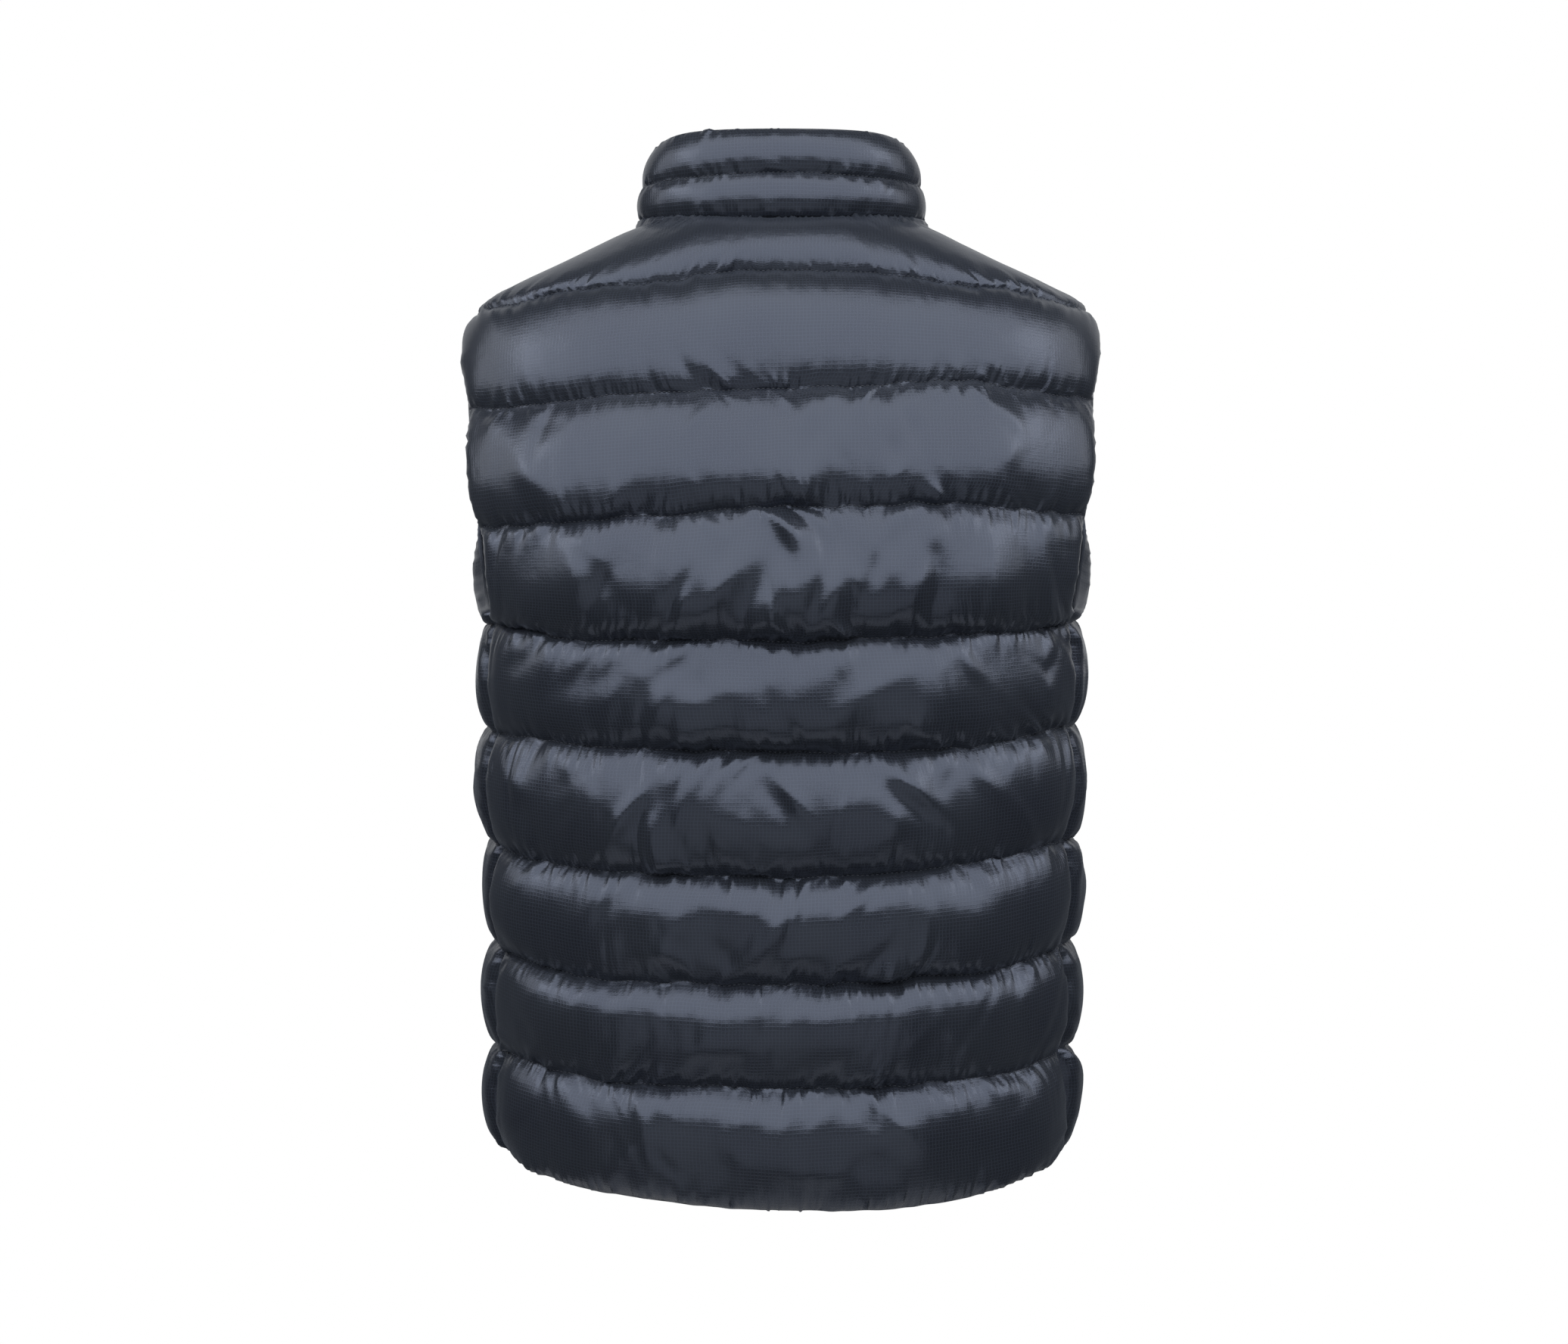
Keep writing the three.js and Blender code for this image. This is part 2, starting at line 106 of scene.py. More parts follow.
# How much higher each line lies on the back than its even curve, at five places from the wearer's
# left end to the right one. Round the sides the difference dies away.
SHIFTS = np.array(
    [
        (5, 1, 0, -4, 0),
        (5, -1.5, -5.5, -1, 5),
        (2, -4.5, -5.5, -2, 5.5),
        (0, -6, -5.5, -1, 5.5),
        (-1.5, -3.5, -1.5, -3, 3.5),
        (0, -4.5, -2, 0, 2),
        (-8, -8, -0.5, 2.5, -1),
        (-7.5, -4.5, -0.5, 4, 1),
        (-2, -0.5, -0.5, 4, 2.5),
    ]
)
# The angles of those places, with both sides of the body added, and the share of each place at them.
SHIFT_ANGLES = np.radians([0, 18, 42.5, 90, 137.5, 162, 180])
SHIFT_SHARES = np.eye(len(SHIFT_ANGLES))[1:-1]
FIRST_SHIFT = LINES.shape[1]
NO_SHIFT = [0.0] * len(SHIFT_SHARES)
QUILTING = np.hstack([LINES, SHIFTS])
NECK = np.array([[-6, 2, -80, *NO_SHIFT]])
FRONT_TIP = np.array([[FRONT_TOP_Z] * 3 + NO_SHIFT])

# How finely the cloth is modelled, on its outer side and on its plain inner side.
CHANNEL_ROWS = 26
BACK_COLUMNS = 410
FRONT_COLUMNS = 206
COLLAR_COLUMNS = 380
COLLAR_ROWS = 18
INNER_ROWS = 7
INNER_BACK_COLUMNS = 52
INNER_FRONT_COLUMNS = 30
INNER_COLLAR_COLUMNS = 40
SEAM_ROWS = range(CHANNEL_ROWS, CHANNEL_ROWS * len(LINES), CHANNEL_ROWS)
# How much closer together the rows lie beside the stitching, as a share of the channel.
ROW_CROWDING = 0.075

# How places on the surface are found: samples along a row, rounds towards an edge and the collar's
# seam, and the small steps that slopes are measured over, in radians and millimetres.
ROW_SAMPLES = 400
EDGE_ROUNDS = 16
NECK_ROUNDS = 8
TURN_STEP = 0.002
CLIMB_STEP = 0.5
TINY = 1e-9

# The seeds of each panel's random draws.
SEEDS = {"back": 11, "front_left": 23, "front_right": 37, "collar": 41, "collar_puckers": 43}
PUCKER_SEED_STEP = 100


def section_value(column, z):
    """A column of SECTIONS at a height, by a smooth curve through its values."""
    heights = SECTIONS[:, 0]
    values = SECTIONS[:, column]
    order = np.arange(len(heights))
    before = np.maximum(order - 1, 0)
    after = np.minimum(order + 1, len(heights) - 1)
    slopes = (values[after] - values[before]) / (heights[after] - heights[before])
    z = np.clip(z, heights[0], heights[-1])
    low = np.clip(np.searchsorted(heights, z) - 1, 0, len(heights) - 2)
    step = heights[low + 1] - heights[low]
    t = (z - heights[low]) / step
    keep_low = (1 + 2 * t) * (1 - t) ** 2 * values[low]
    keep_high = t * t * (3 - 2 * t) * values[low + 1]
    leave = t * (1 - t) ** 2 * step * slopes[low]
    arrive = t * t * (1 - t) * step * slopes[low + 1]
    return keep_low + leave + keep_high - arrive


def depth_value(back, z):
    return np.where(back, section_value(BACK_DEPTH, z), section_value(FRONT_DEPTH, z))


def surface_point(angle, z):
    """A point of the surface, by its angle round the body from the wearer's left."""
    cos, sin = np.cos(angle), np.sin(angle)
    power = section_value(SQUARE, z)
    across = np.abs(cos) / section_value(HALF, z)
    along = np.abs(sin) / depth_value(sin > 0, z)
    radius = (across**power + along**power) ** (-1 / power)
    return np.stack([radius * cos, radius * sin, z + 0 * angle], axis=-1)


def unit(vectors):
    return vectors / np.linalg.norm(vectors, axis=-1, keepdims=True)


def surface_normal(angle, z):
    around = surface_point(angle + TURN_STEP, z) - surface_point(angle - TURN_STEP, z)
    top = np.minimum(z + CLIMB_STEP, SECTIONS[-1, 0])
    up = surface_point(angle, top) - surface_point(angle, top - 2 * CLIMB_STEP)
    return unit(np.cross(around, up))


def angle_at_depth(y, z):
    power = section_value(SQUARE, z)
    share = 1 - (np.abs(y) / depth_value(y > 0, z)) ** power
    return np.arctan2(y, section_value(HALF, z) * share ** (1 / power))


def angle_at_width(x, z):
    power = section_value(SQUARE, z)
    share = 1 - (x / section_value(HALF, z)) ** power
    return np.arctan2(-section_value(FRONT_DEPTH, z) * share ** (1 / power), x)


def line_height(line, angle):
    """The height of a line of quilting, or of several, at an angle."""
    sin = np.sin(angle)
    back = line[..., 1] + (line[..., 0] - line[..., 1]) * sin
    front = line[..., 1] + (line[..., 2] - line[..., 1]) * sin**2
    shares = (np.interp(angle, SHIFT_ANGLES, share) for share in SHIFT_SHARES)
    shift = sum(line[..., FIRST_SHIFT + k] * share for k, share in enumerate(shares))
    return np.where(sin > 0, back, front) + shift


def edge_depth(is_back, z):
    """How far back a panel's side edge lies: at the armhole, or at the seams below and above it."""
    middle = (ARMHOLE["top"] + ARMHOLE["bottom"]) / 2
    half = ARMHOLE["top"] - middle
    reach = np.sqrt(np.clip(1 - ((z - middle) / half) ** 2, 0, 1))
    share = np.clip((z - ARMHOLE["bottom"]) / (2 * half), 0, 1)
    centre = SIDE_SEAM_Y + (SHOULDER_SEAM_Y - SIDE_SEAM_Y) * share
    return centre + (ARMHOLE["back_reach"] if is_back else -ARMHOLE["front_reach"]) * reach


def distances_along(points, axis):
    """Distances along lines of points, from the first point of each."""
    steps = np.linalg.norm(np.diff(points, axis=axis), axis=-1)
    return np.insert(np.cumsum(steps, axis=axis), 0, 0, axis=axis)


class Rows:
    """Rows of a panel's grid: the quilting line under and over each, and its share of the way up."""

    def __init__(self, lines, shares):
        count = len(shares)
        under = np.repeat(lines[:-1], count, axis=0)
        over = np.repeat(lines[1:], count, axis=0)
        self.under = np.vstack([under, lines[-2:-1]])[:, None]
        self.over = np.vstack([over, lines[-1:]])[:, None]
        self.share = np.append(np.tile(shares, len(lines) - 1), 1.0)[:, None]

    def height(self, angle):
        low = line_height(self.under, angle)
        return low + (line_height(self.over, angle) - low) * self.share

    def edge(self, is_back):
        """The angle at which each row meets the panel's side edge."""
        angle = np.zeros((len(self.share), 1))
        for _ in range(EDGE_ROUNDS):
            z = self.height(angle)
            angle = (angle + angle_at_depth(edge_depth(is_back, z), z)) / 2
        return angle

    def inner(self):
        """Where each row of a front ends: at its zip edge, or higher up at the neckline."""
        angle = np.full((len(self.share), 1), -math.pi / 2)
        low, high = NECK[0, 2], NECK[0, 1]
        for _ in range(EDGE_ROUNDS):
            z = self.height(angle)
            fall = np.clip((high - z) / (high - low), 0, 1)
            end = np.maximum(angle_at_width(FRONT_EDGE_X, z), -np.arcsin(np.sqrt(fall)))
            angle = (angle + end) / 2
        return angle

    def points(self, start, end, columns):
        """Evenly spaced points along each row, with normals and distances to both ends."""
        angles = start + (end - start) * np.linspace(0, 1, ROW_SAMPLES)
        samples = surface_point(angles, self.height(angles))
        length = distances_along(samples, 1)
        total = length[:, -1:]
        wanted = SEAM_GAP / 2 + (total - SEAM_GAP) * np.linspace(0, 1, columns)
        found = np.stack([np.interp(w, l, a) for w, l, a in zip(wanted, length, angles)])
        z = self.height(found)
        return surface_point(found, z), surface_normal(found, z), found, wanted, total - wanted


def channel_profile(share, roundness=ROUNDNESS):
    """How far a channel is puffed out, from nothing at its stitching to 1 at its crown."""
    return np.sin(np.pi * (share % 1.0)) ** roundness


def edge_profile(distance, taper):
    return np.sin(np.pi / 2 * np.clip(distance / taper, 0, 1)) ** ROUNDNESS


def smooth_noise(rng, rows, columns, row_blur, column_blur):
    """Seeded noise of unit spread, blurred by a Gaussian along each direction."""
    noise = rng.standard_normal((rows, columns))
    for axis, blur in ((0, row_blur), (1, column_blur)):
        if blur <= 0:
            continue
        reach = int(3 * blur) + 1
        kernel = np.exp(-0.5 * (np.arange(-reach, reach + 1) / blur) ** 2)
        kernel /= kernel.sum()
        pad = [(0, 0), (0, 0)]
        pad[axis] = (reach, reach)
        padded = np.pad(noise, pad, mode="reflect" if reach < noise.shape[axis] else "edge")
        noise = np.apply_along_axis(np.convolve, axis, padded, kernel, mode="valid")
    return noise / noise.std()


def grid_normals(points):
    normal = np.cross(np.gradient(points, axis=1), np.gradient(points, axis=0))
    return normal / np.maximum(np.linalg.norm(normal, axis=-1, keepdims=True), TINY)


# How strongly the slanting threads pull beside the straight ones, how far each step blows the cloth
# out, and how far outside the surface it has to stay.
SLANT_STRENGTH = 0.35
PRESSURE = 0.004
CLEARANCE = 0.2


class Cloth:
    """A grid of cloth held at its stitching and blown outwards, relaxed until it settles.

    Rows run up and columns across. Each thread pulls its two ends towards its own length."""

    def __init__(self, start, free, gather, rise, base, normal):
        self.points = start.astype(np.float32)
        self.free = free.astype(np.float32)
        self.base = base.astype(np.float32)
        self.out = normal.astype(np.float32)
        self.threads = []
        run = np.diff(start, axis=1) * (1 + (gather[:, 1:] + gather[:, :-1]) / 2)[..., None]
        climb = np.diff(start, axis=0) * (1 + (rise[1:] + rise[:-1]) / 2)[..., None]
        self.add(run, (0, 1), 1.0)
        self.add(climb, (1, 0), 1.0)
        run = (run[1:] + run[:-1]) / 2
        climb = (climb[:, 1:] + climb[:, :-1]) / 2
        self.add(climb + run, (1, 1), SLANT_STRENGTH)
        self.add(climb - run, (1, -1), SLANT_STRENGTH)

    def add(self, threads, step, strength):
        """Splits the threads in one direction into two sets, so that no point is in a set twice."""
        rest = np.linalg.norm(threads, axis=-1).astype(np.float32)
        rows, columns = rest.shape
        for parity in (0, 1):
            if step[0] == 0:
                a = (slice(0, rows), slice(parity, columns, 2))
                b = (slice(0, rows), slice(parity + 1, columns + 1, 2))
                part = rest[:, parity::2]
            else:
                left = max(-step[1], 0)
                right = left + step[1]
                a = (slice(parity, rows, 2), slice(left, left + columns))
                b = (slice(parity + 1, rows + 1, 2), slice(right, right + columns))
                part = rest[parity::2]
            weight = self.free[a] + self.free[b]
            share = (strength / np.maximum(weight, TINY)).astype(np.float32)
            self.threads.append((a, b, part, share * self.free[a], share * self.free[b]))

    def settle(self, steps, smoothing, momentum):
        p = self.points
        last = p.copy()
        for _ in range(steps):
            drift = (p - last) * momentum
            last[:] = p
            p += drift * self.free[..., None]
            p += grid_normals(p) * (PRESSURE * self.free[..., None])
            for a, b, rest, pull_a, pull_b in self.threads:
                gap = p[b] - p[a]
                length = np.sqrt(np.einsum("ijk,ijk->ij", gap, gap))
                amount = 1 - rest / length
                p[a] += gap * (amount * pull_a)[..., None]
                p[b] -= gap * (amount * pull_b)[..., None]
            if smoothing:
                middle = (p[:, 2:] + p[:, :-2]) * 0.5 - p[:, 1:-1]
                p[:, 1:-1] += middle * (smoothing * self.free[:, 1:-1, None])
                middle = (p[2:] + p[:-2]) * 0.5 - p[1:-1]
                p[1:-1] += middle * (smoothing * self.free[1:-1, :, None])
            inside = np.einsum("ijk,ijk->ij", p - self.base, self.out)
            p -= self.out * (np.minimum(inside - CLEARANCE, 0) * self.free)[..., None]


def strip(points, first, second, flip, faces):
    """Triangles between two lines of points, always across the shorter way."""
    i = j = 0
    while i < len(first) - 1 or j < len(second) - 1:
        by_first = by_second = math.inf
        if i < len(first) - 1:
            by_first = np.linalg.norm(points[first[i + 1]] - points[second[j]])
        if j < len(second) - 1:
            by_second = np.linalg.norm(points[first[i]] - points[second[j + 1]])
        if by_first <= by_second:
            face = (first[i], first[i + 1], second[j])
            i += 1
        else:
            face = (first[i], second[j + 1], second[j])
            j += 1
        faces.append(face[::-1] if flip else face)


def grid_faces(index):
    a, b = index[:-1, :-1].ravel(), index[:-1, 1:].ravel()
    c, d = index[1:, 1:].ravel(), index[1:, :-1].ravel()
    return np.stack([a, b, c, d], axis=1)


def add_object(name, data):
    piece = bpy.data.objects.new(name, data)
    bpy.context.scene.collection.objects.link(piece)
    return piece


def make_object(name, points, faces, uv, material):
    mesh = bpy.data.meshes.new(name)
    mesh.from_pydata((points * MM).tolist(), [], faces)
    layer = mesh.uv_layers.new(name="cloth")
    corners = np.empty(len(mesh.loops), dtype=np.int64)
    mesh.loops.foreach_get("vertex_index", corners)
    layer.data.foreach_set("uv", (uv[corners] * MM).ravel())
    mesh.polygons.foreach_set("use_smooth", [True] * len(mesh.polygons))
    mesh.materials.append(material)
    return add_object(name, mesh)


def crease_edges(mesh, columns, count, rows):
    """Makes the edges along some rows of the outer grid, and round its rim, sharp. count is how many
    points that grid has."""
    ends = np.empty(len(mesh.edges) * 2, dtype=np.int64)
    mesh.edges.foreach_get("vertices", ends)
    ends = ends.reshape(-1, 2)
    row, column = np.divmod(ends, columns)
    outer = (ends < count).all(axis=1)
    rows = [0, count // columns - 1, *rows]
    along_row = (row[:, 0] == row[:, 1]) & np.isin(row[:, 0], rows)
    along_end = (column[:, 0] == column[:, 1]) & np.isin(column[:, 0], [0, columns - 1])
    sharp = mesh.attributes.new("sharp_edge", "BOOLEAN", "EDGE")
    sharp.data.foreach_set("value", outer & (along_row | along_end))


def flat_coordinates(points):
    """Distances over the cloth, so that its weave has one scale everywhere."""
    u = distances_along(points, 1)
    u -= u[:, -1:] / 2
    steps = np.median(np.linalg.norm(np.diff(points, axis=0), axis=-1), axis=1)
    v = np.insert(np.cumsum(steps), 0, 0)[:, None] + 0 * u
    return np.stack([u, v], axis=-1)


def wall_object(name, outer, inner, material, seam_rows=()):
    """A closed wall from a fine outer grid and a plain inner one."""
    points = np.concatenate([grid.reshape(-1, 3) for grid in (outer, inner)])
    uv = np.concatenate([flat_coordinates(grid).reshape(-1, 2) for grid in (outer, inner)])
    out = np.arange(outer[..., 0].size).reshape(outer.shape[:2])
    ins = out.size + np.arange(inner[..., 0].size).reshape(inner.shape[:2])
    faces = grid_faces(out).tolist() + grid_faces(ins)[:, ::-1].tolist()
    rims = (
        (out[0], ins[0], True),
        (out[-1], ins[-1], False),
        (out[:, 0], ins[:, 0], False),
        (out[:, -1], ins[:, -1], True),
    )
    for first, second, flip in rims:
        strip(points, first, second, flip, faces)
    piece = make_object(name, points, faces, uv, material)
    crease_edges(piece.data, outer.shape[1], out.size, seam_rows)
    return piece


def row_shares(count):
    """Shares of a channel's height, closer together beside its stitching."""
    even = np.arange(count) / count
    return even - ROW_CROWDING * np.sin(2 * np.pi * even)


# How each channel is sewn, from the hem up: gather, its reach, slack, lumps, roundness, the height
# and run of its puckers in millimetres, its share of the full loft, and how much fuller it is below
# its middle than above, in millimetres.
CHANNELS = np.array(
    [
        (0.10, 0.06, 0.005, 1.3, 0.72, 1.3, 9, 1, -2.4),
        (0.10, 0.06, 0.005, 1.3, 0.70, 1.3, 9, 1, -2.4),
        (0.10, 0.07, 0.006, 1.4, 0.70, 1.3, 10, 1, -1.5),
        (0.10, 0.07, 0.007, 1.5, 0.70, 1.4, 11, 1, 0.5),
        (0.10, 0.07, 0.007, 1.5, 0.72, 1.4, 11, 1, 2),
        (0.10, 0.07, 0.007, 1.6, 0.78, 1.3, 11, 0.95, 3.4),
        (0.08, 0.05, 0.003, 0.8, 0.90, 1, 7, 0.7, 0.5),
        (0.07, 0.04, 0.002, 0.5, 0.95, 0.9, 6, 0.64, 0),
        (0.04, 0.04, 0.001, 0.4, 1, 0.5, 4, 0.42, 0),
    ]
)
GATHER, REACH, SLACK, LUMPS, ROUND, PUCKER, RUN, LOFT, LOW = range(CHANNELS.shape[1])
# The same for the whole collar, as far as its puckers' run.
COLLAR_FEEL = (0.06, 0.10, 0.004, 0.4, ROUNDNESS, 0.9, 5)


def row_feel(channels, rows, share):
    """The sewing of each row, blended from channel to channel across their crowns."""
    per = (rows - 1) // len(channels)
    place = np.minimum(np.arange(rows) // per, len(channels) - 1) + share - 0.5
    order = np.arange(len(channels))
    return np.stack([np.interp(place, order, column) for column in channels.T], axis=1)


# The cloth before it is blown out. Blurs are in rows and columns. Near a panel's side edges the
# gathers are weaker and the cloth is let out upwards. The beads lie beside the stitching.
TIGHT_MEAN, TIGHT_SPREAD, TIGHT_BLUR, TIGHT_LIMITS = 0.8, 0.5, (8, 9), (-1.3, 1.4)
EDGE_REACH = 14.0
RISE, EDGE_RISE = 0.02, 0.03
BEAD_HEIGHT, BEAD_REACH, BEAD_BLUR = 0.9, 0.16, (1.5, 1.2)
LUMP_BLUR = (6, 13)

# Blowing it out takes two stages. Only the last and shorter one smooths.
SETTLE_STEPS = 170
MOMENTUM, LAST_MOMENTUM = 0.8, 0.5
LAST_SMOOTHING = 0.04


def free_points(shape, sewn):
    """Which points of a grid can move: all but the sewn rows and the side edges."""
    free = np.ones(shape)
    free[sewn] = 0
    free[:, [0, -1]] = 0
    return free


def sew(start, base, normal, free, share, feel, distances, seed):
    """Gathers a panel along its stitching and blows it out. distances are those to its side edges."""
    rng = np.random.default_rng(seed)
    shape = start.shape[:2]
    pull, reach, slack, lumps = (feel[:, k, None] for k in (GATHER, REACH, SLACK, LUMPS))
    from_seam = np.minimum(share, 1 - share)
    tight = TIGHT_MEAN + TIGHT_SPREAD * np.clip(smooth_noise(rng, *shape, *TIGHT_BLUR), *TIGHT_LIMITS)
    near_edge = np.exp(-np.minimum(*distances) / EDGE_REACH)
    gather = slack + pull * np.exp(-from_seam / reach) * tight * (1 - near_edge)
    rise = RISE + EDGE_RISE * near_edge
    beads = smooth_noise(rng, *shape, *BEAD_BLUR)
    # One draw is passed over, so that the later ones stay the same.
    rng.standard_normal(shape)
    broad = smooth_noise(rng, *shape, *LUMP_BLUR)
    bump = beads * BEAD_HEIGHT * np.exp(-from_seam / BEAD_REACH) + broad * lumps
    start = start + normal * (bump * free * (1 - near_edge))[..., None]
    cloth = Cloth(start, free, gather, rise, base, normal)
    cloth.settle(SETTLE_STEPS, 0.0, MOMENTUM)
    cloth.settle(SETTLE_STEPS // 4, LAST_SMOOTHING, LAST_MOMENTUM)
    return cloth.points.astype(float)


# Creases of the back: channel, place along it from the centre, share of its height, slope in degrees,
# length, width and height. Along is positive towards the wearer's right; a trough has a negative height.
CREASES = np.array(
    [
        (6, -56, 0.20, -70, 15, 4, 1.5),
        (6, 76, 0.25, 60, 20, 4, 1.5),
        (5, -118, 0.40, 60, 40, 8, -2.6),
        (5, -68, 0.33, 60, 40, 4, -2.4),
        (5, -38, 0.43, 57, 46, 7, 3.0),
        (5, -21, 0.35, 57, 54, 9, -4.0),
        (5, -5, 0.20, 90, 20, 5, 2.1),
        (5, 21, 0.30, 65, 40, 6, -3.0),
        (5, 31, 0.69, 100, 34, 8, -3.0),
        (5, 33, 0.38, 75, 47, 6, 2.8),
        (5, 60, 0.52, 60, 54, 7, -3.2),
        (5, 78, 0.28, 50, 47, 8, 3.0),
        (5, 96, 0.30, 80, 61, 8, -4.0),
        (4, -126, 0.62, 20, 81, 12, -2.1),
        (4, -32, 0.58, 15, 81, 10, 1.7),
        (4, 30, 0.50, 40, 68, 12, -2.1),
        (4, 34, 0.26, 1, 270, 1.3, 0.8),
        (4, 76, 0.70, 35, 81, 10, 2.3),
        (4, 85, 0.22, -50, 24, 5, 2.1),
        (4, 124, 0.72, -45, 34, 5, 2.1),
        (3, -100, 0.50, 57, 61, 5, 2.5),
        (3, -90, 0.43, 57, 61, 7, -2.5),
        (3, -45, 0.15, -75, 34, 4, -2.5),
        (3, -21, 0.40, -30, 40, 8, 1.7),
        (3, -1, 0.58, -50, 43, 7, -2.5),
        (3, 6, 0.66, -50, 43, 5, 2.5),
        (3, 75, 0.10, 80, 20, 4, -2.5),
        (3, 79, 0.58, -42, 51, 8, -3.4),
        (3, 85, 0.70, -42, 47, 6, 3.4),
        (3, 135, 0.70, -50, 38, 5, 2.1),
        (3, 165, 0.30, -55, 40, 4, 2.1),
        (2, -80, 0.30, 0, 40, 7, 1.7),
        (2, -35, 0.75, -20, 50, 8, 1.4),
        (2, 10, 0.30, 0, 25, 6, 1.4),
        (1, -46, 0.42, 5, 70, 10, 2.1),
        (0, -76, 0.40, -50, 30, 4, -1.0),
        (0, 24, 0.35, -10, 60, 9, 1.6),
        (0, 65, 0.62, 20, 35, 9, 2.0),
    ]
)

# The strewn creases: how many there are and how far along a panel, in how many channels from the hem
# up, how they crowd towards a channel's top, and the least and most of each measure. Steepness is
# height by width.
STREWN_BACK = (110, 190)
STREWN_FRONT = (80, 110)
STREWN_CHANNELS = 7
CROWDING_POWER, CROWDING_SHARE = 1.7, 0.75
DROPS, SLOPES, LENGTHS, WIDTHS, STEEPNESS = (0.05, 1), (35, 75), (18, 48), (3.5, 9), (0.12, 0.27)


def strewn_creases(seed, count, reach):
    """Smaller creases of the same kinds, strewn by a seed, most of them below a line of stitching."""
    rng = np.random.default_rng(seed)
    channel = rng.integers(0, STREWN_CHANNELS, count)
    along = rng.uniform(-reach, reach, count)
    share = 1 - rng.uniform(*DROPS, count) ** CROWDING_POWER * CROWDING_SHARE
    slope = rng.uniform(*SLOPES, count) * rng.choice((-1, 1), count)
    length = rng.uniform(*LENGTHS, count)
    width = rng.uniform(*WIDTHS, count)
    height = rng.uniform(*STEEPNESS, count) * width * rng.choice((-1, 1), count)
    return np.stack([channel, along, share, slope, length, width, height], axis=1)


def crown(share):
    """A factor that dies away at the stitching."""
    return np.sin(np.pi * share) ** 0.5


def crease_heights(creases, rows, along, share):
    """How far the creases lift each point of a panel."""
    lift = np.zeros(along.shape)
    for channel, middle, at, slope, length, width, height in creases:
        own = slice(int(channel) * CHANNEL_ROWS, int(channel + 1) * CHANNEL_ROWS)
        right = along[own] - middle
        up = (share[own] - at) * (rows.over[own, 0, 0] - rows.under[own, 0, 0])[:, None]
        cos, sin = math.cos(math.radians(slope)), math.sin(math.radians(slope))
        ahead = (right * cos + up * sin) / (length / 2)
        aside = (up * cos - right * sin) / width
        lift[own] += height * np.exp(-(ahead**2) - aside**2)
    return lift * crown(share)


# The places of the noise along a line of stitching, or up a side edge from the middle of the body.
LINE_STEP = 0.5
LINE_PLACES = np.arange(-420, 420, LINE_STEP)
BODY_MIDDLE_Z = -340
# The mean height of ridges, which is taken off them, and how steeply they end.
RIDGE_MEAN = 0.8
FALL_POWER = 1.6


def line_noise(rng, size):
    """Seeded noise along a line of stitching, with bumps of about this size in millimetres."""
    return smooth_noise(rng, 1, len(LINE_PLACES), 0, size / LINE_STEP)[0]


def noise_at(rng, place, size):
    return np.interp(place, LINE_PLACES, line_noise(rng, size))


def ridges(rng, place, size):
    """Round ridges with sharp valleys between them."""
    return np.abs(noise_at(rng, place, size)) - RIDGE_MEAN


def fall_off(distance, reach):
    return np.exp(-((distance / reach) ** FALL_POWER))


# The puckers of a line of stitching: the sizes of the noise that makes them lean, reach out and
# stand up, and of the small and middle ridges and the pleats, how strong the middle ridges are, how
# much farther the pleats reach, and how soon after the stitching each begins.
SHAPING_SIZES = (24.0, 5.0, 16.0)
LEAN, MOST_LEAN, SPREAD = 0.65, 1.1, 0.38
SMALL_SIZE, MIDDLE_SIZE, PLEAT_SIZE = 1.9, 4.2, 8.0
MIDDLE_RIDGES = 0.8
PLEAT_REACH = 2.3
RIDGE_START, PLEAT_START = 1.2, 3
# With a longer run there are fewer small ridges and more pleats.
FINE_RUNS, FINE_SHARES = (6, 10), (1.0, 0.5)
PLEATS_AND_FINE = 1.9
STRENGTH_MEAN, STRENGTH_SPREAD, STRENGTH_LIMITS = 0.8, 0.45, (0.1, 2)
# How strong the puckers are at the lowest and the highest edge of a panel.
BODY_RIMS = (0.35, 1.0)
COLLAR_RIMS = (1.0, 0.1)


def pucker_heights(rng, along, to_under, to_over, feel, rows, rims):
    """Short uneven gathers that run out from the stitching, as strong as rims says at the rims."""
    lift = np.zeros(along.shape)
    for first in range(0, len(along) - 1, rows):
        own = slice(first, first + rows)
        height, run = feel[own, PUCKER, None], feel[own, RUN, None]
        fine = np.interp(run, FINE_RUNS, FINE_SHARES)
        at_under = rims[0] if first == 0 else 1.0
        at_over = rims[1] if first + rows == len(along) - 1 else 1.0
        for distance, sewn in ((to_under[own], at_under), (to_over[own], at_over)):
            place = along[own]
            lean, spread, strength = (noise_at(rng, place, size) for size in SHAPING_SIZES)
            place = place + distance * np.clip(LEAN * lean, -MOST_LEAN, MOST_LEAN)
            ridge = fine * ridges(rng, place, SMALL_SIZE)
            ridge += MIDDLE_RIDGES * ridges(rng, place, MIDDLE_SIZE)
            reach = run * np.exp(SPREAD * spread)
            near = fall_off(distance, reach) * (1 - np.exp(-distance / RIDGE_START))
            pleat = (PLEATS_AND_FINE - fine) * ridges(rng, place, PLEAT_SIZE)
            far = fall_off(distance, PLEAT_REACH * reach) * (1 - np.exp(-distance / PLEAT_START))
            strength = np.clip(STRENGTH_MEAN + STRENGTH_SPREAD * strength, *STRENGTH_LIMITS)
            lift[own] += sewn * height * strength * (ridge * near + pleat * far)
    return lift


# The puckers of a side edge: the sizes of their lean, ridges and reach, how much they lean, how far
# they reach and how much that varies.
EDGE_LEAN_SIZE, EDGE_RIDGE_SIZE, EDGE_REACH_SIZE = 15, 3.2, 9
EDGE_LEAN, EDGE_PUCKER_REACH, EDGE_SPREAD = 0.5, 13, 0.4


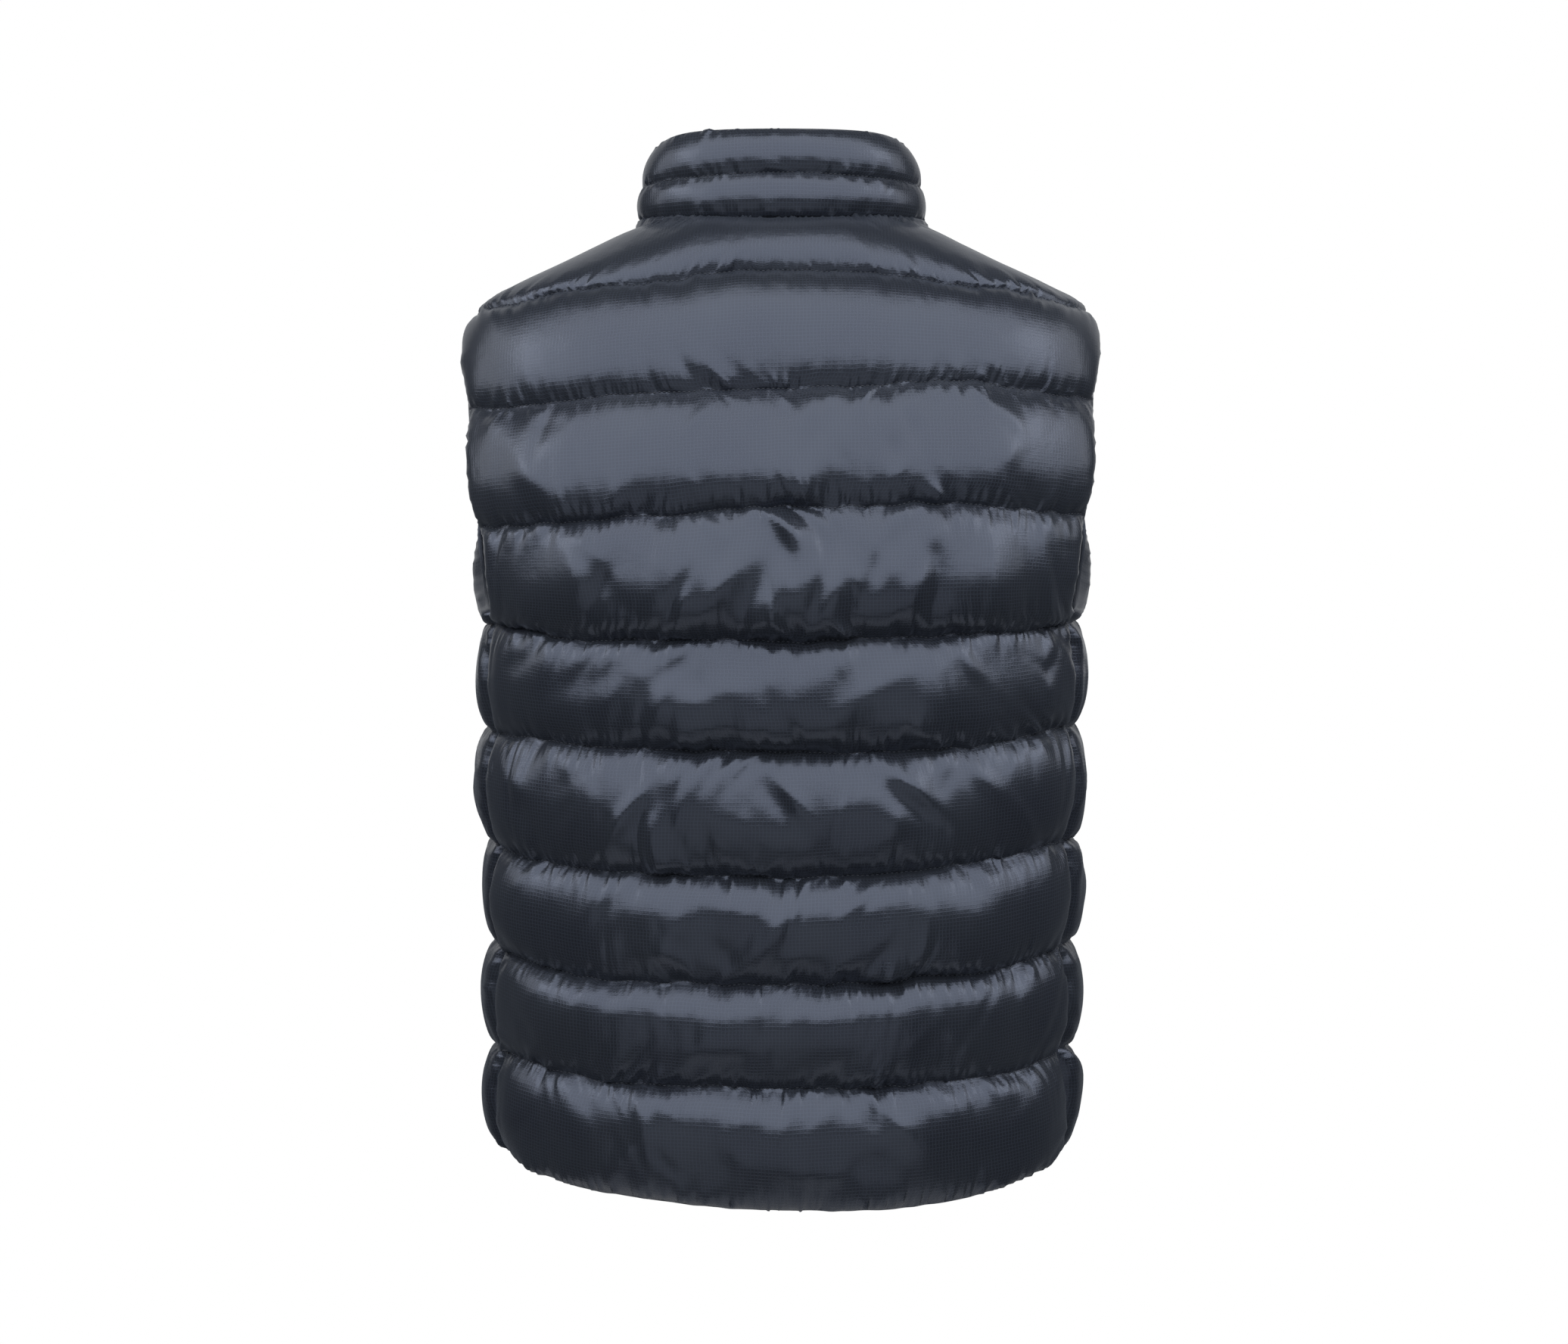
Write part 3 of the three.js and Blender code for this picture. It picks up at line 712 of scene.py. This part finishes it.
def edge_pucker_heights(rng, height, from_start, from_end):
    """Uneven gathers that run in from the panel's side edges."""
    lift = np.zeros(height.shape)
    for distance in (from_start, from_end):
        place = height + distance * np.clip(EDGE_LEAN * noise_at(rng, height, EDGE_LEAN_SIZE), -1, 1)
        ridge = ridges(rng, place, EDGE_RIDGE_SIZE)
        reach = EDGE_PUCKER_REACH * np.exp(EDGE_SPREAD * noise_at(rng, height, EDGE_REACH_SIZE))
        lift += ridge * fall_off(distance, reach)
    return lift


# How the lines of stitching waver: the sizes of the fine and the slow bumps, how high they are, the
# fine ones' height at the hem, and how far from the line the cloth is moved with it.
WAVER_SIZES = (4.0, 22.0)
FINE_WAVER, HEM_FINE_WAVER, SLOW_WAVER = 0.6, 0.25, 0.9
WAVER_REACH = 12


def seam_waver(rng, along, to_under, to_over, rows):
    """How far each point is moved up, so that no line of stitching is quite straight."""

    def new_waver(fine):
        return fine * line_noise(rng, WAVER_SIZES[0]) + SLOW_WAVER * line_noise(rng, WAVER_SIZES[1])

    def moved(waver, distance):
        return np.interp(along[own], LINE_PLACES, waver) * np.exp(-distance[own] / WAVER_REACH)

    shift = np.zeros(along.shape)
    waver = new_waver(HEM_FINE_WAVER)
    for first in range(0, len(along) - 1, rows):
        last = len(along) if first + rows == len(along) - 1 else first + rows
        own = slice(first, last)
        shift[own] += moved(waver, to_under)
        waver = new_waver(FINE_WAVER)
        if last == len(along):
            waver = 0 * waver
        shift[own] += moved(waver, to_over)
    return shift


# Broad swells over a blown-out panel: their blur in rows and columns, and their strength at the
# sides and how much more it is in the middle.
SWELL_BLUR = (7, 14)
SIDE_SWELL, MIDDLE_SWELL = 0.3, 0.7


def body_panel(lines, is_back, columns, inner_columns, seed):
    """One quilted panel of the body: its outer and inner grids, and the outer one's directions. A
    front is the wearer's left one."""

    def laid(rows, count):
        edge = rows.edge(is_back)
        start, end = (edge, math.pi - edge) if is_back else (rows.inner(), edge)
        return rows.points(start, end, count)

    rows = Rows(lines, row_shares(CHANNEL_ROWS))
    base, normal, angle, from_start, from_end = laid(rows, columns)
    start_taper = TAPER_SIDE if is_back else TAPER_ZIP
    fade = edge_profile(from_start, start_taper) * edge_profile(from_end, TAPER_SIDE)
    facing = np.sin(angle) ** 2
    loft = SIDE_LOFT + (BODY_LOFT - SIDE_LOFT) * facing
    feel = row_feel(CHANNELS, len(rows.share), rows.share[:, 0])
    rng = np.random.default_rng(seed + PUCKER_SEED_STEP)
    along = (from_start - from_end) / 2
    tall = rows.over[..., 0] - rows.under[..., 0]
    to_under, to_over = (share * tall + 0 * along for share in (rows.share, 1 - rows.share))
    base[..., 2] += seam_waver(rng, along, to_under, to_over, CHANNEL_ROWS) * fade
    puffed = channel_profile(rows.share, feel[:, ROUND, None])
    start = base + normal * (loft * feel[:, LOFT, None] * puffed * fade)[..., None]
    free = free_points(base.shape[:2], slice(None, None, CHANNEL_ROWS))
    share = rows.share % 1.0 + 0 * angle
    outer = sew(start, base, normal, free, share, feel, (from_start, from_end), seed)
    creases = strewn_creases(seed, *(STREWN_BACK if is_back else STREWN_FRONT))
    if is_back:
        creases = np.vstack([CREASES, creases])
    lift = crease_heights(creases, rows, along, share)
    lift += feel[:, LOW, None] * np.sin(2 * np.pi * share) * facing
    lift += pucker_heights(rng, along, to_under, to_over, feel, CHANNEL_ROWS, BODY_RIMS)
    lift += edge_pucker_heights(rng, base[..., 2] - BODY_MIDDLE_Z, from_start, from_end)
    swells = smooth_noise(rng, *share.shape, *SWELL_BLUR) * (SIDE_SWELL + MIDDLE_SWELL * facing)
    lift += feel[:, LUMPS, None] * swells * crown(share)
    outer = outer + normal * (lift * fade * free)[..., None]
    inner_base, inner_normal, *_ = laid(Rows(lines, np.arange(INNER_ROWS) / INNER_ROWS), inner_columns)
    inner = inner_base - inner_normal * WALL
    return outer, inner, normal


def build_back(material):
    lines = np.vstack([QUILTING, NECK])
    outer, inner, normal = body_panel(lines, True, BACK_COLUMNS, INNER_BACK_COLUMNS, SEEDS["back"])
    return wall_object("vest_back", outer, inner, material, SEAM_ROWS), outer, normal


def build_front(side, seed, material):
    """A front is built as the wearer's left one, and mirrored where it is the right one."""
    lines = np.vstack([QUILTING, FRONT_TIP])
    if side < 0:
        lines[:, FIRST_SHIFT:] = np.fliplr(lines[:, FIRST_SHIFT:]).copy()
    grids = body_panel(lines, False, FRONT_COLUMNS, INNER_FRONT_COLUMNS, seed)
    if side < 0:
        grids = [grid[:, ::-1] * (-1, 1, 1) for grid in grids]
    outer, inner, normal = grids
    name = "vest_front_left" if side > 0 else "vest_front_right"
    return wall_object(name, outer, inner, material, SEAM_ROWS), outer, normal


# The collar's shape. Towards its sides it leans in more, its top edge lies lower and its quilting
# bows down, and behind it rises. The powers say how soon that dies away round the neck.
SIDE_LEAN, SIDE_DROP, SIDE_POWER = 5, 6, 14
SIDE_BOW = 18
BACK_RISE, BACK_POWER = 5, 1.1
INNER_COLLAR_HEIGHTS = (0, 0.25, 0.5, 0.75, 1)


class Neckline:
    """The collar's seam, from one edge of the zip round the back to the other."""

    def __init__(self, columns):
        seam = NECK[0, 2]
        start = np.full((2, 1), angle_at_width(FRONT_EDGE_X, np.array(seam)))
        rows = Rows(np.vstack([NECK, NECK]), np.array([0.0]))
        found = rows.points(start, math.pi - start, columns)
        self.base, normal, self.angle, self.from_start, self.from_end = (grid[0] for grid in found)
        along = np.gradient(self.base, axis=0)
        self.outward = unit(np.stack([along[:, 1], -along[:, 0], 0 * along[:, 0]], axis=1))
        self.upward = normal[:, 2]
        fade = edge_profile(np.minimum(self.from_start, self.from_end), TAPER_COLLAR)
        facing = np.sin(self.angle) ** 2
        self.loft = fade * (COLLAR_SIDE_LOFT + (COLLAR_LOFT - COLLAR_SIDE_LOFT) * facing)


def collar_grid(seam, height, offset):
    """Points of the collar at shares of its height, set off outwards."""
    sideways = np.cos(seam.angle) ** SIDE_POWER
    behind = np.clip(np.sin(seam.angle), 0, 1) ** BACK_POWER
    lean = offset - (COLLAR_LEAN + SIDE_LEAN * sideways) * height**3
    points = seam.base[None] + seam.outward[None] * lean[..., None]
    rise = COLLAR_HEIGHT - COLLAR_GAP + BACK_RISE * behind
    bow = SIDE_BOW * np.cos(seam.angle) ** 2 * height * (1 - height)
    sag = SIDE_DROP * sideways * height**4 + bow
    points[..., 2] += COLLAR_GAP + height * rise - sag
    return points


def build_collar(material):
    shares = row_shares(COLLAR_ROWS)
    seam = Neckline(COLLAR_COLUMNS)
    share = np.concatenate([shares, shares, [1.0]])[:, None]
    height = np.concatenate([shares / 2, 0.5 + shares / 2, [1.0]])[:, None]
    loft = seam.loft[None]
    base = collar_grid(seam, height, 0 * loft)
    start = collar_grid(seam, height, channel_profile(share) * loft)
    normal = np.broadcast_to(seam.outward, base.shape)
    free = free_points(base.shape[:2], [0, COLLAR_ROWS, -1])
    wide = share % 1.0 + 0 * loft
    distances = (seam.from_start[None] + 0 * wide, seam.from_end[None] + 0 * wide)
    feel = np.tile(COLLAR_FEEL, (len(share), 1))
    outer = sew(start, base, normal, free, wide, feel, distances, SEEDS["collar"])
    along = (distances[0] - distances[1]) / 2
    half = COLLAR_HEIGHT / 2
    rng = np.random.default_rng(SEEDS["collar_puckers"])
    lift = pucker_heights(rng, along, wide * half, (1 - wide) * half, feel, COLLAR_ROWS, COLLAR_RIMS)
    outer = outer + normal * (lift * free * loft / COLLAR_LOFT)[..., None]
    inner_seam = Neckline(INNER_COLLAR_COLUMNS)
    inner_height = np.array(INNER_COLLAR_HEIGHTS)[:, None]
    inner = collar_grid(inner_seam, inner_height, np.full((1, INNER_COLLAR_COLUMNS), -WALL))
    # Its lowest row goes down with the inner side of the panels below.
    inner[0, :, 2] -= WALL * inner_seam.upward
    piece = wall_object("vest_collar", outer, inner, material, [COLLAR_ROWS])
    return piece, outer, normal


# Sewing thread. The rings of each stitch: place along it, height over the cloth, share of its radius.
STITCH_PITCH = 3.3
STITCH_LENGTH = 2.3
STITCH_RADIUS = 0.28
STITCH_SIDES = 5
STITCH_RINGS = ((-0.5, -0.25, 0.3), (-0.28, 0.35, 1.0), (0.28, 0.35, 1.0), (0.5, -0.25, 0.3))
ALONG_STEP = 0.6


def stitch_line(path, normal):
    """Short humped threads along one row. Returns their points and faces."""
    length = distances_along(path, 0)
    centres = np.arange(STITCH_PITCH, length[-1] - STITCH_PITCH, STITCH_PITCH)

    def at(distance, values):
        return np.stack([np.interp(distance, length, values[:, k]) for k in range(3)], axis=-1)

    middle = at(centres, path)
    along = unit(at(centres + ALONG_STEP, path) - at(centres - ALONG_STEP, path))
    out = unit(at(centres, normal))
    side = np.cross(along, out)
    points = []
    for place, lift, swell in STITCH_RINGS:
        centre = middle + along * (place * STITCH_LENGTH) + out * lift
        for turn in np.arange(STITCH_SIDES) / STITCH_SIDES * 2 * np.pi:
            spoke = out * math.cos(turn) + side * math.sin(turn)
            points.append(centre + spoke * (STITCH_RADIUS * swell))
    points = np.stack(points, axis=1)
    a = np.arange((len(STITCH_RINGS) - 1) * STITCH_SIDES)
    b = a - a % STITCH_SIDES + (a + 1) % STITCH_SIDES
    faces = np.stack([a, b, b + STITCH_SIDES, a + STITCH_SIDES], axis=1)
    starts = np.arange(len(centres)) * points.shape[1]
    return points.reshape(-1, 3), (faces + starts[:, None, None]).reshape(-1, 4)


def stitches(name, outer, normal, rows, material):
    points, faces, count = [], [], 0
    for row in rows:
        new_points, new_faces = stitch_line(outer[row], normal[row])
        points.append(new_points)
        faces.append(new_faces + count)
        count += len(new_points)
    points, faces = np.concatenate(points), np.concatenate(faces)
    return make_object(name, points, faces.tolist(), np.zeros((count, 2)), material)


# The zip. Its tapes and teeth follow the centre front, then stand with the collar.
ZIP_TOP = NECK[0, 2] + COLLAR_HEIGHT - 4
ZIP_BOTTOM = LINES[0, 2] + 2
TAPE_THICK = 1.0
TAPE_GAP = 0.8
TAPE_ROWS = 240
TAPE_X = (0.3, 1.2, 2.4, 4, 6.5, 9, 12, 16)
# The teeth start above the box at the foot and end just below the top.
TEETH_X = 1.2
TEETH_START = ZIP_BOTTOM + 12
TEETH_END = ZIP_TOP - 1
TOOTH = {"pitch": 2.6, "height": 1.25, "reach": 2.9, "over": 0.75, "depth": 2.5, "bevel": 0.28}


def zip_depth(x, z):
    """How far back the front's surface, and above it the collar's, lies."""
    seam = np.full_like(z, NECK[0, 2])
    for _ in range(NECK_ROUNDS):
        seam = line_height(NECK[0], angle_at_width(x, seam))
    height = np.minimum(z, seam)
    lean = COLLAR_LEAN * ((z - height) / COLLAR_HEIGHT) ** 3
    return surface_point(angle_at_width(x, height), height)[..., 1] + lean


def build_tape(side, material):
    z = np.linspace(ZIP_BOTTOM, ZIP_TOP, TAPE_ROWS)
    sheets = []
    for face in (0, 1):
        columns = []
        for value in TAPE_X:
            x = np.full_like(z, value)
            y = zip_depth(x, z) + WALL + TAPE_GAP + face * TAPE_THICK
            columns.append(np.stack([x * side, y, z], axis=-1))
        sheets.append(np.stack(columns, axis=1)[:, ::side])
    name = "vest_tape_left" if side > 0 else "vest_tape_right"
    return wall_object(name, *sheets, material)


def box_points(low, high, bevel):
    """The corners of a box with its edges cut off, three for each corner of the whole box."""
    corners = []
    for upper in itertools.product((0, 1), repeat=3):
        corner = np.where(upper, high, low)
        inwards = np.where(upper, -bevel, bevel)
        corners.extend(corner + inwards * (np.arange(3) != k) for k in range(3))
    return corners


def build_teeth(material):
    shape = bmesh.new()
    for side in (-1, 1):
        start = TEETH_START + (TOOTH["pitch"] / 2 if side > 0 else 0)
        for z in np.arange(start, TEETH_END, TOOTH["pitch"]):
            y = float(zip_depth(np.array(TEETH_X), np.array(z))) + WALL + TAPE_GAP + TAPE_THICK / 2
            low = [-TOOTH["over"], y - TOOTH["depth"] / 2, z - TOOTH["height"] / 2]
            high = [TOOTH["reach"], y + TOOTH["depth"] / 2, z + TOOTH["height"] / 2]
            corners = [corner * (side, 1, 1) * MM for corner in box_points(low, high, TOOTH["bevel"])]
            verts = [shape.verts.new(corner.tolist()) for corner in corners]
            bmesh.ops.convex_hull(shape, input=verts)
    mesh = bpy.data.meshes.new("zip_teeth")
    shape.to_mesh(mesh)
    shape.free()
    mesh.materials.append(material)
    return add_object("zip_teeth", mesh)


# Materials.
class Nodes:
    def __init__(self, name, **inputs):
        self.material = bpy.data.materials.new(name)
        self.material.use_nodes = True
        self.tree = self.material.node_tree
        self.tree.nodes.clear()
        self.shader = self.add("ShaderNodeBsdfPrincipled", **inputs)
        output = self.add("ShaderNodeOutputMaterial")
        self.link(self.shader, "BSDF", output, "Surface")

    def add(self, kind, settings=None, **inputs):
        """A node with these settings. An input's name has underscores for spaces."""
        node = self.tree.nodes.new(kind)
        for key, value in (settings or {}).items():
            setattr(node, key, value)
        for key, value in inputs.items():
            node.inputs[key.replace("_", " ")].default_value = value
        return node

    def link(self, a, out, b, into):
        self.tree.links.new(a.outputs[out], b.inputs[into])

    def math(self, operation, source, out, value=None):
        node = self.add("ShaderNodeMath", {"operation": operation})
        self.link(source, out, node, 0)
        if value is not None:
            node.inputs[1].default_value = value
        return node

    def noise(self, place, out, scale, detail):
        node = self.add("ShaderNodeTexNoise", Scale=scale, Detail=detail)
        self.link(place, out, node, "Vector")
        return node

    def ramp(self, source, colors, positions=(0.0, 1.0)):
        node = self.add("ShaderNodeValToRGB")
        for element, color, position in zip(node.color_ramp.elements, colors, positions):
            element.position = position
            element.color = (*color, 1)
        self.link(source, "Fac", node, "Fac")
        return node

    def bump(self, source, out, strength, distance):
        node = self.add("ShaderNodeBump", Strength=strength, Distance=distance)
        self.link(source, out, node, "Height")
        return node


# The shell's cloth: its dark tone, the lighter grid in its weave, and the fine crumples.
SHELL_TONES = ((0.0070, 0.0080, 0.0112), (0.0102, 0.0117, 0.0150))
TONE_POSITIONS = (0.35, 0.65)
TONE_SCALE = 14
GRID_PITCH = 0.0024
# A wave texture has this many bands to the metre at a scale of 1.
BANDS_PER_METRE = 3.18
GRID_NARROWNESS = 8
GRID_STRENGTH = 0.28
GRID_COLOR = (0.03, 0.037, 0.052, 1)
GRID_DEPTH = 0.00012
CRUMPLE_SCALE = 75
CRUMPLE_DEPTH = 0.0012
BUMP_STRENGTH = 0.25


def shell_material():
    n = Nodes(
        "navy_satin_nylon",
        Roughness=0.25,
        Specular_IOR_Level=0.5,
        Specular_Tint=(0.67, 0.76, 1.0, 1),
        Sheen_Weight=0.06,
        Sheen_Roughness=0.5,
        Sheen_Tint=(0.5, 0.58, 0.75, 1),
    )
    uv = n.add("ShaderNodeUVMap", {"uv_map": "cloth"})
    tone = n.ramp(n.noise(uv, "UV", TONE_SCALE, 4), SHELL_TONES, TONE_POSITIONS)
    lines = []
    for direction in ("X", "Y"):
        settings = {"wave_type": "BANDS", "bands_direction": direction, "wave_profile": "SIN"}
        scale = 1 / GRID_PITCH / BANDS_PER_METRE
        wave = n.add("ShaderNodeTexWave", settings, Scale=scale, Distortion=0.0)
        n.link(uv, "UV", wave, "Vector")
        lines.append(n.math("POWER", wave, "Color", GRID_NARROWNESS))
    grid = n.math("MAXIMUM", lines[0], 0)
    n.link(lines[1], 0, grid, 1)
    strength = n.math("MULTIPLY", grid, 0, GRID_STRENGTH)
    lighter = n.add("ShaderNodeMix", {"data_type": "RGBA", "blend_type": "MIX"}, B=GRID_COLOR)
    n.link(strength, 0, lighter, "Factor")
    n.link(tone, "Color", lighter, "A")
    n.link(lighter, "Result", n.shader, "Base Color")
    crumple = n.noise(uv, "UV", CRUMPLE_SCALE, 3)
    small = n.bump(crumple, "Fac", BUMP_STRENGTH, CRUMPLE_DEPTH)
    weave = n.bump(grid, 0, BUMP_STRENGTH, GRID_DEPTH)
    n.link(small, "Normal", weave, "Normal")
    n.link(weave, "Normal", n.shader, "Normal")
    return n.material


def plain_material(name, color, roughness, metallic=0.0, grain=900, depth=0.00005, mottle=0.2):
    n = Nodes(name, Roughness=roughness, Metallic=metallic)
    noise = n.noise(n.add("ShaderNodeTexCoord"), "Object", grain, 2)
    colors = [[c * share for c in color] for share in (1 - mottle, 1 + mottle)]
    n.link(n.ramp(noise, colors), "Color", n.shader, "Base Color")
    n.link(n.bump(noise, "Fac", 0.4, depth), "Normal", n.shader, "Normal")
    return n.material


# The camera stands behind the vest and looks along -Y.
EYE = (-0.00165, 1.4, -0.2516)
AIM = (-0.00165, 0.0, -0.3215)
camera = add_object("camera", bpy.data.cameras.new("camera"))
camera.data.sensor_width = 36
camera.data.lens = 44.28
camera.location = EYE
pitch = math.atan2(EYE[2] - AIM[2], EYE[1] - AIM[1])
camera.rotation_euler = (math.pi / 2 - pitch, 0, math.pi)
bpy.context.scene.camera = camera

shell = shell_material()
thread = plain_material("thread", (0.02, 0.024, 0.034), 0.8, grain=2500)
tape_cloth = plain_material("zip_tape", (0.012, 0.015, 0.022), 0.85, grain=1600)
enamel = (0.016, 0.017, 0.02)
black_metal = plain_material("zip_enamel", enamel, 0.3, metallic=0.4, grain=300, depth=0.00002)
tooth_plastic = plain_material("zip_teeth", (0.014, 0.015, 0.018), 0.42, grain=500, depth=0.00002)

back, back_grid, back_normal = build_back(shell)
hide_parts("back")
left, left_grid, left_normal = build_front(1, SEEDS["front_left"], shell)
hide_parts("front_left")
right, right_grid, right_normal = build_front(-1, SEEDS["front_right"], shell)
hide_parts("front_right")
collar, collar_points, collar_normal = build_collar(shell)
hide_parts("collar")
for piece in (back, left, right, collar):
    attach(piece, "vest")

for name, grid, normal, rows in (
    ("stitches_back", back_grid, back_normal, SEAM_ROWS),
    ("stitches_left", left_grid, left_normal, SEAM_ROWS),
    ("stitches_right", right_grid, right_normal, SEAM_ROWS),
    ("stitches_collar", collar_points, collar_normal, [COLLAR_ROWS]),
):
    piece = stitches(name, grid, normal, rows, thread)
    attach(piece, "vest")

zip_pieces = [left, right]
for side, node in ((1, "zip_tape_left"), (-1, "zip_tape_right")):
    piece = build_tape(side, tape_cloth)
    zip_pieces.append(piece)
    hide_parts(node)
    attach(piece, "vest")

teeth = build_teeth(tooth_plastic)
zip_pieces.append(teeth)
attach(teeth, "vest")
for node in ("zip_slider", "zip_pull", "zip_box"):
    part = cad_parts[node]
    zip_pieces.append(part)
    for slot in part.material_slots:
        slot.material = black_metal

# A pale floor well below the vest.
bpy.ops.mesh.primitive_plane_add(size=2.4, location=(0, 0, -2.4))
floor = bpy.context.object
floor.name = "floor"
pale = plain_material("floor_paint", (0.75, 0.75, 0.75), 0.9, grain=40, depth=0.0001, mottle=0.01)
floor.data.materials.append(pale)


# Light.
def area_light(name, place, aim, width, height, power):
    data = bpy.data.lights.new(name, "AREA")
    data.shape = "RECTANGLE"
    data.size = width
    data.size_y = height
    data.energy = power
    lamp = add_object(name, data)
    lamp.location = place
    lamp.rotation_euler = (Vector(aim) - Vector(place)).to_track_quat("-Z", "Y").to_euler()
    return lamp


area_light("key", (0, 1.24, 0.84), (0, 0.12, -0.25), width=5.6, height=2.2, power=127)
for side in (-1, 1):
    place = (2.18 * side, 0.42, 0.75)
    area_light(f"side_{side}", place, (0, 0.12, -0.1), width=1.5, height=1.3, power=13)
area_light("floor_glow", (0, 1.635, -1.12), (0, 0.12, -0.35), width=2.2, height=1.5, power=6)
FRONT_LIGHT = {"place": (0, -1.5, 0.55), "aim": (0, -0.12, -0.25), "width": 4.4, "height": 2.3}
area_light("front", **FRONT_LIGHT, power=13)
# The same place lights the zip once more, and nothing else.
zip_side = area_light("zip_side", **FRONT_LIGHT, power=34)
zip_side.light_linking.receiver_collection = bpy.data.collections.new("zip_side_pieces")
for piece in zip_pieces:
    zip_side.light_linking.receiver_collection.objects.link(piece)

# The world is white behind the vest, and lights it faintly.
world = bpy.data.worlds.new("world")
bpy.context.scene.world = world
world.use_nodes = True
tree = world.node_tree
tree.nodes.clear()
kinds = ("LightPath", "Background", "Background", "MixShader", "OutputWorld")
path, lit, seen, mix, out = (tree.nodes.new(f"ShaderNode{kind}") for kind in kinds)
for node, color, strength in ((lit, (0.9, 0.95, 1, 1), 0.1), (seen, (1, 1, 1, 1), 1.0)):
    node.inputs["Color"].default_value = color
    node.inputs["Strength"].default_value = strength
tree.links.new(path.outputs["Is Camera Ray"], mix.inputs[0])
tree.links.new(lit.outputs[0], mix.inputs[1])
tree.links.new(seen.outputs[0], mix.inputs[2])
tree.links.new(mix.outputs[0], out.inputs[0])
bpy.context.scene.view_settings.view_transform = "Standard"
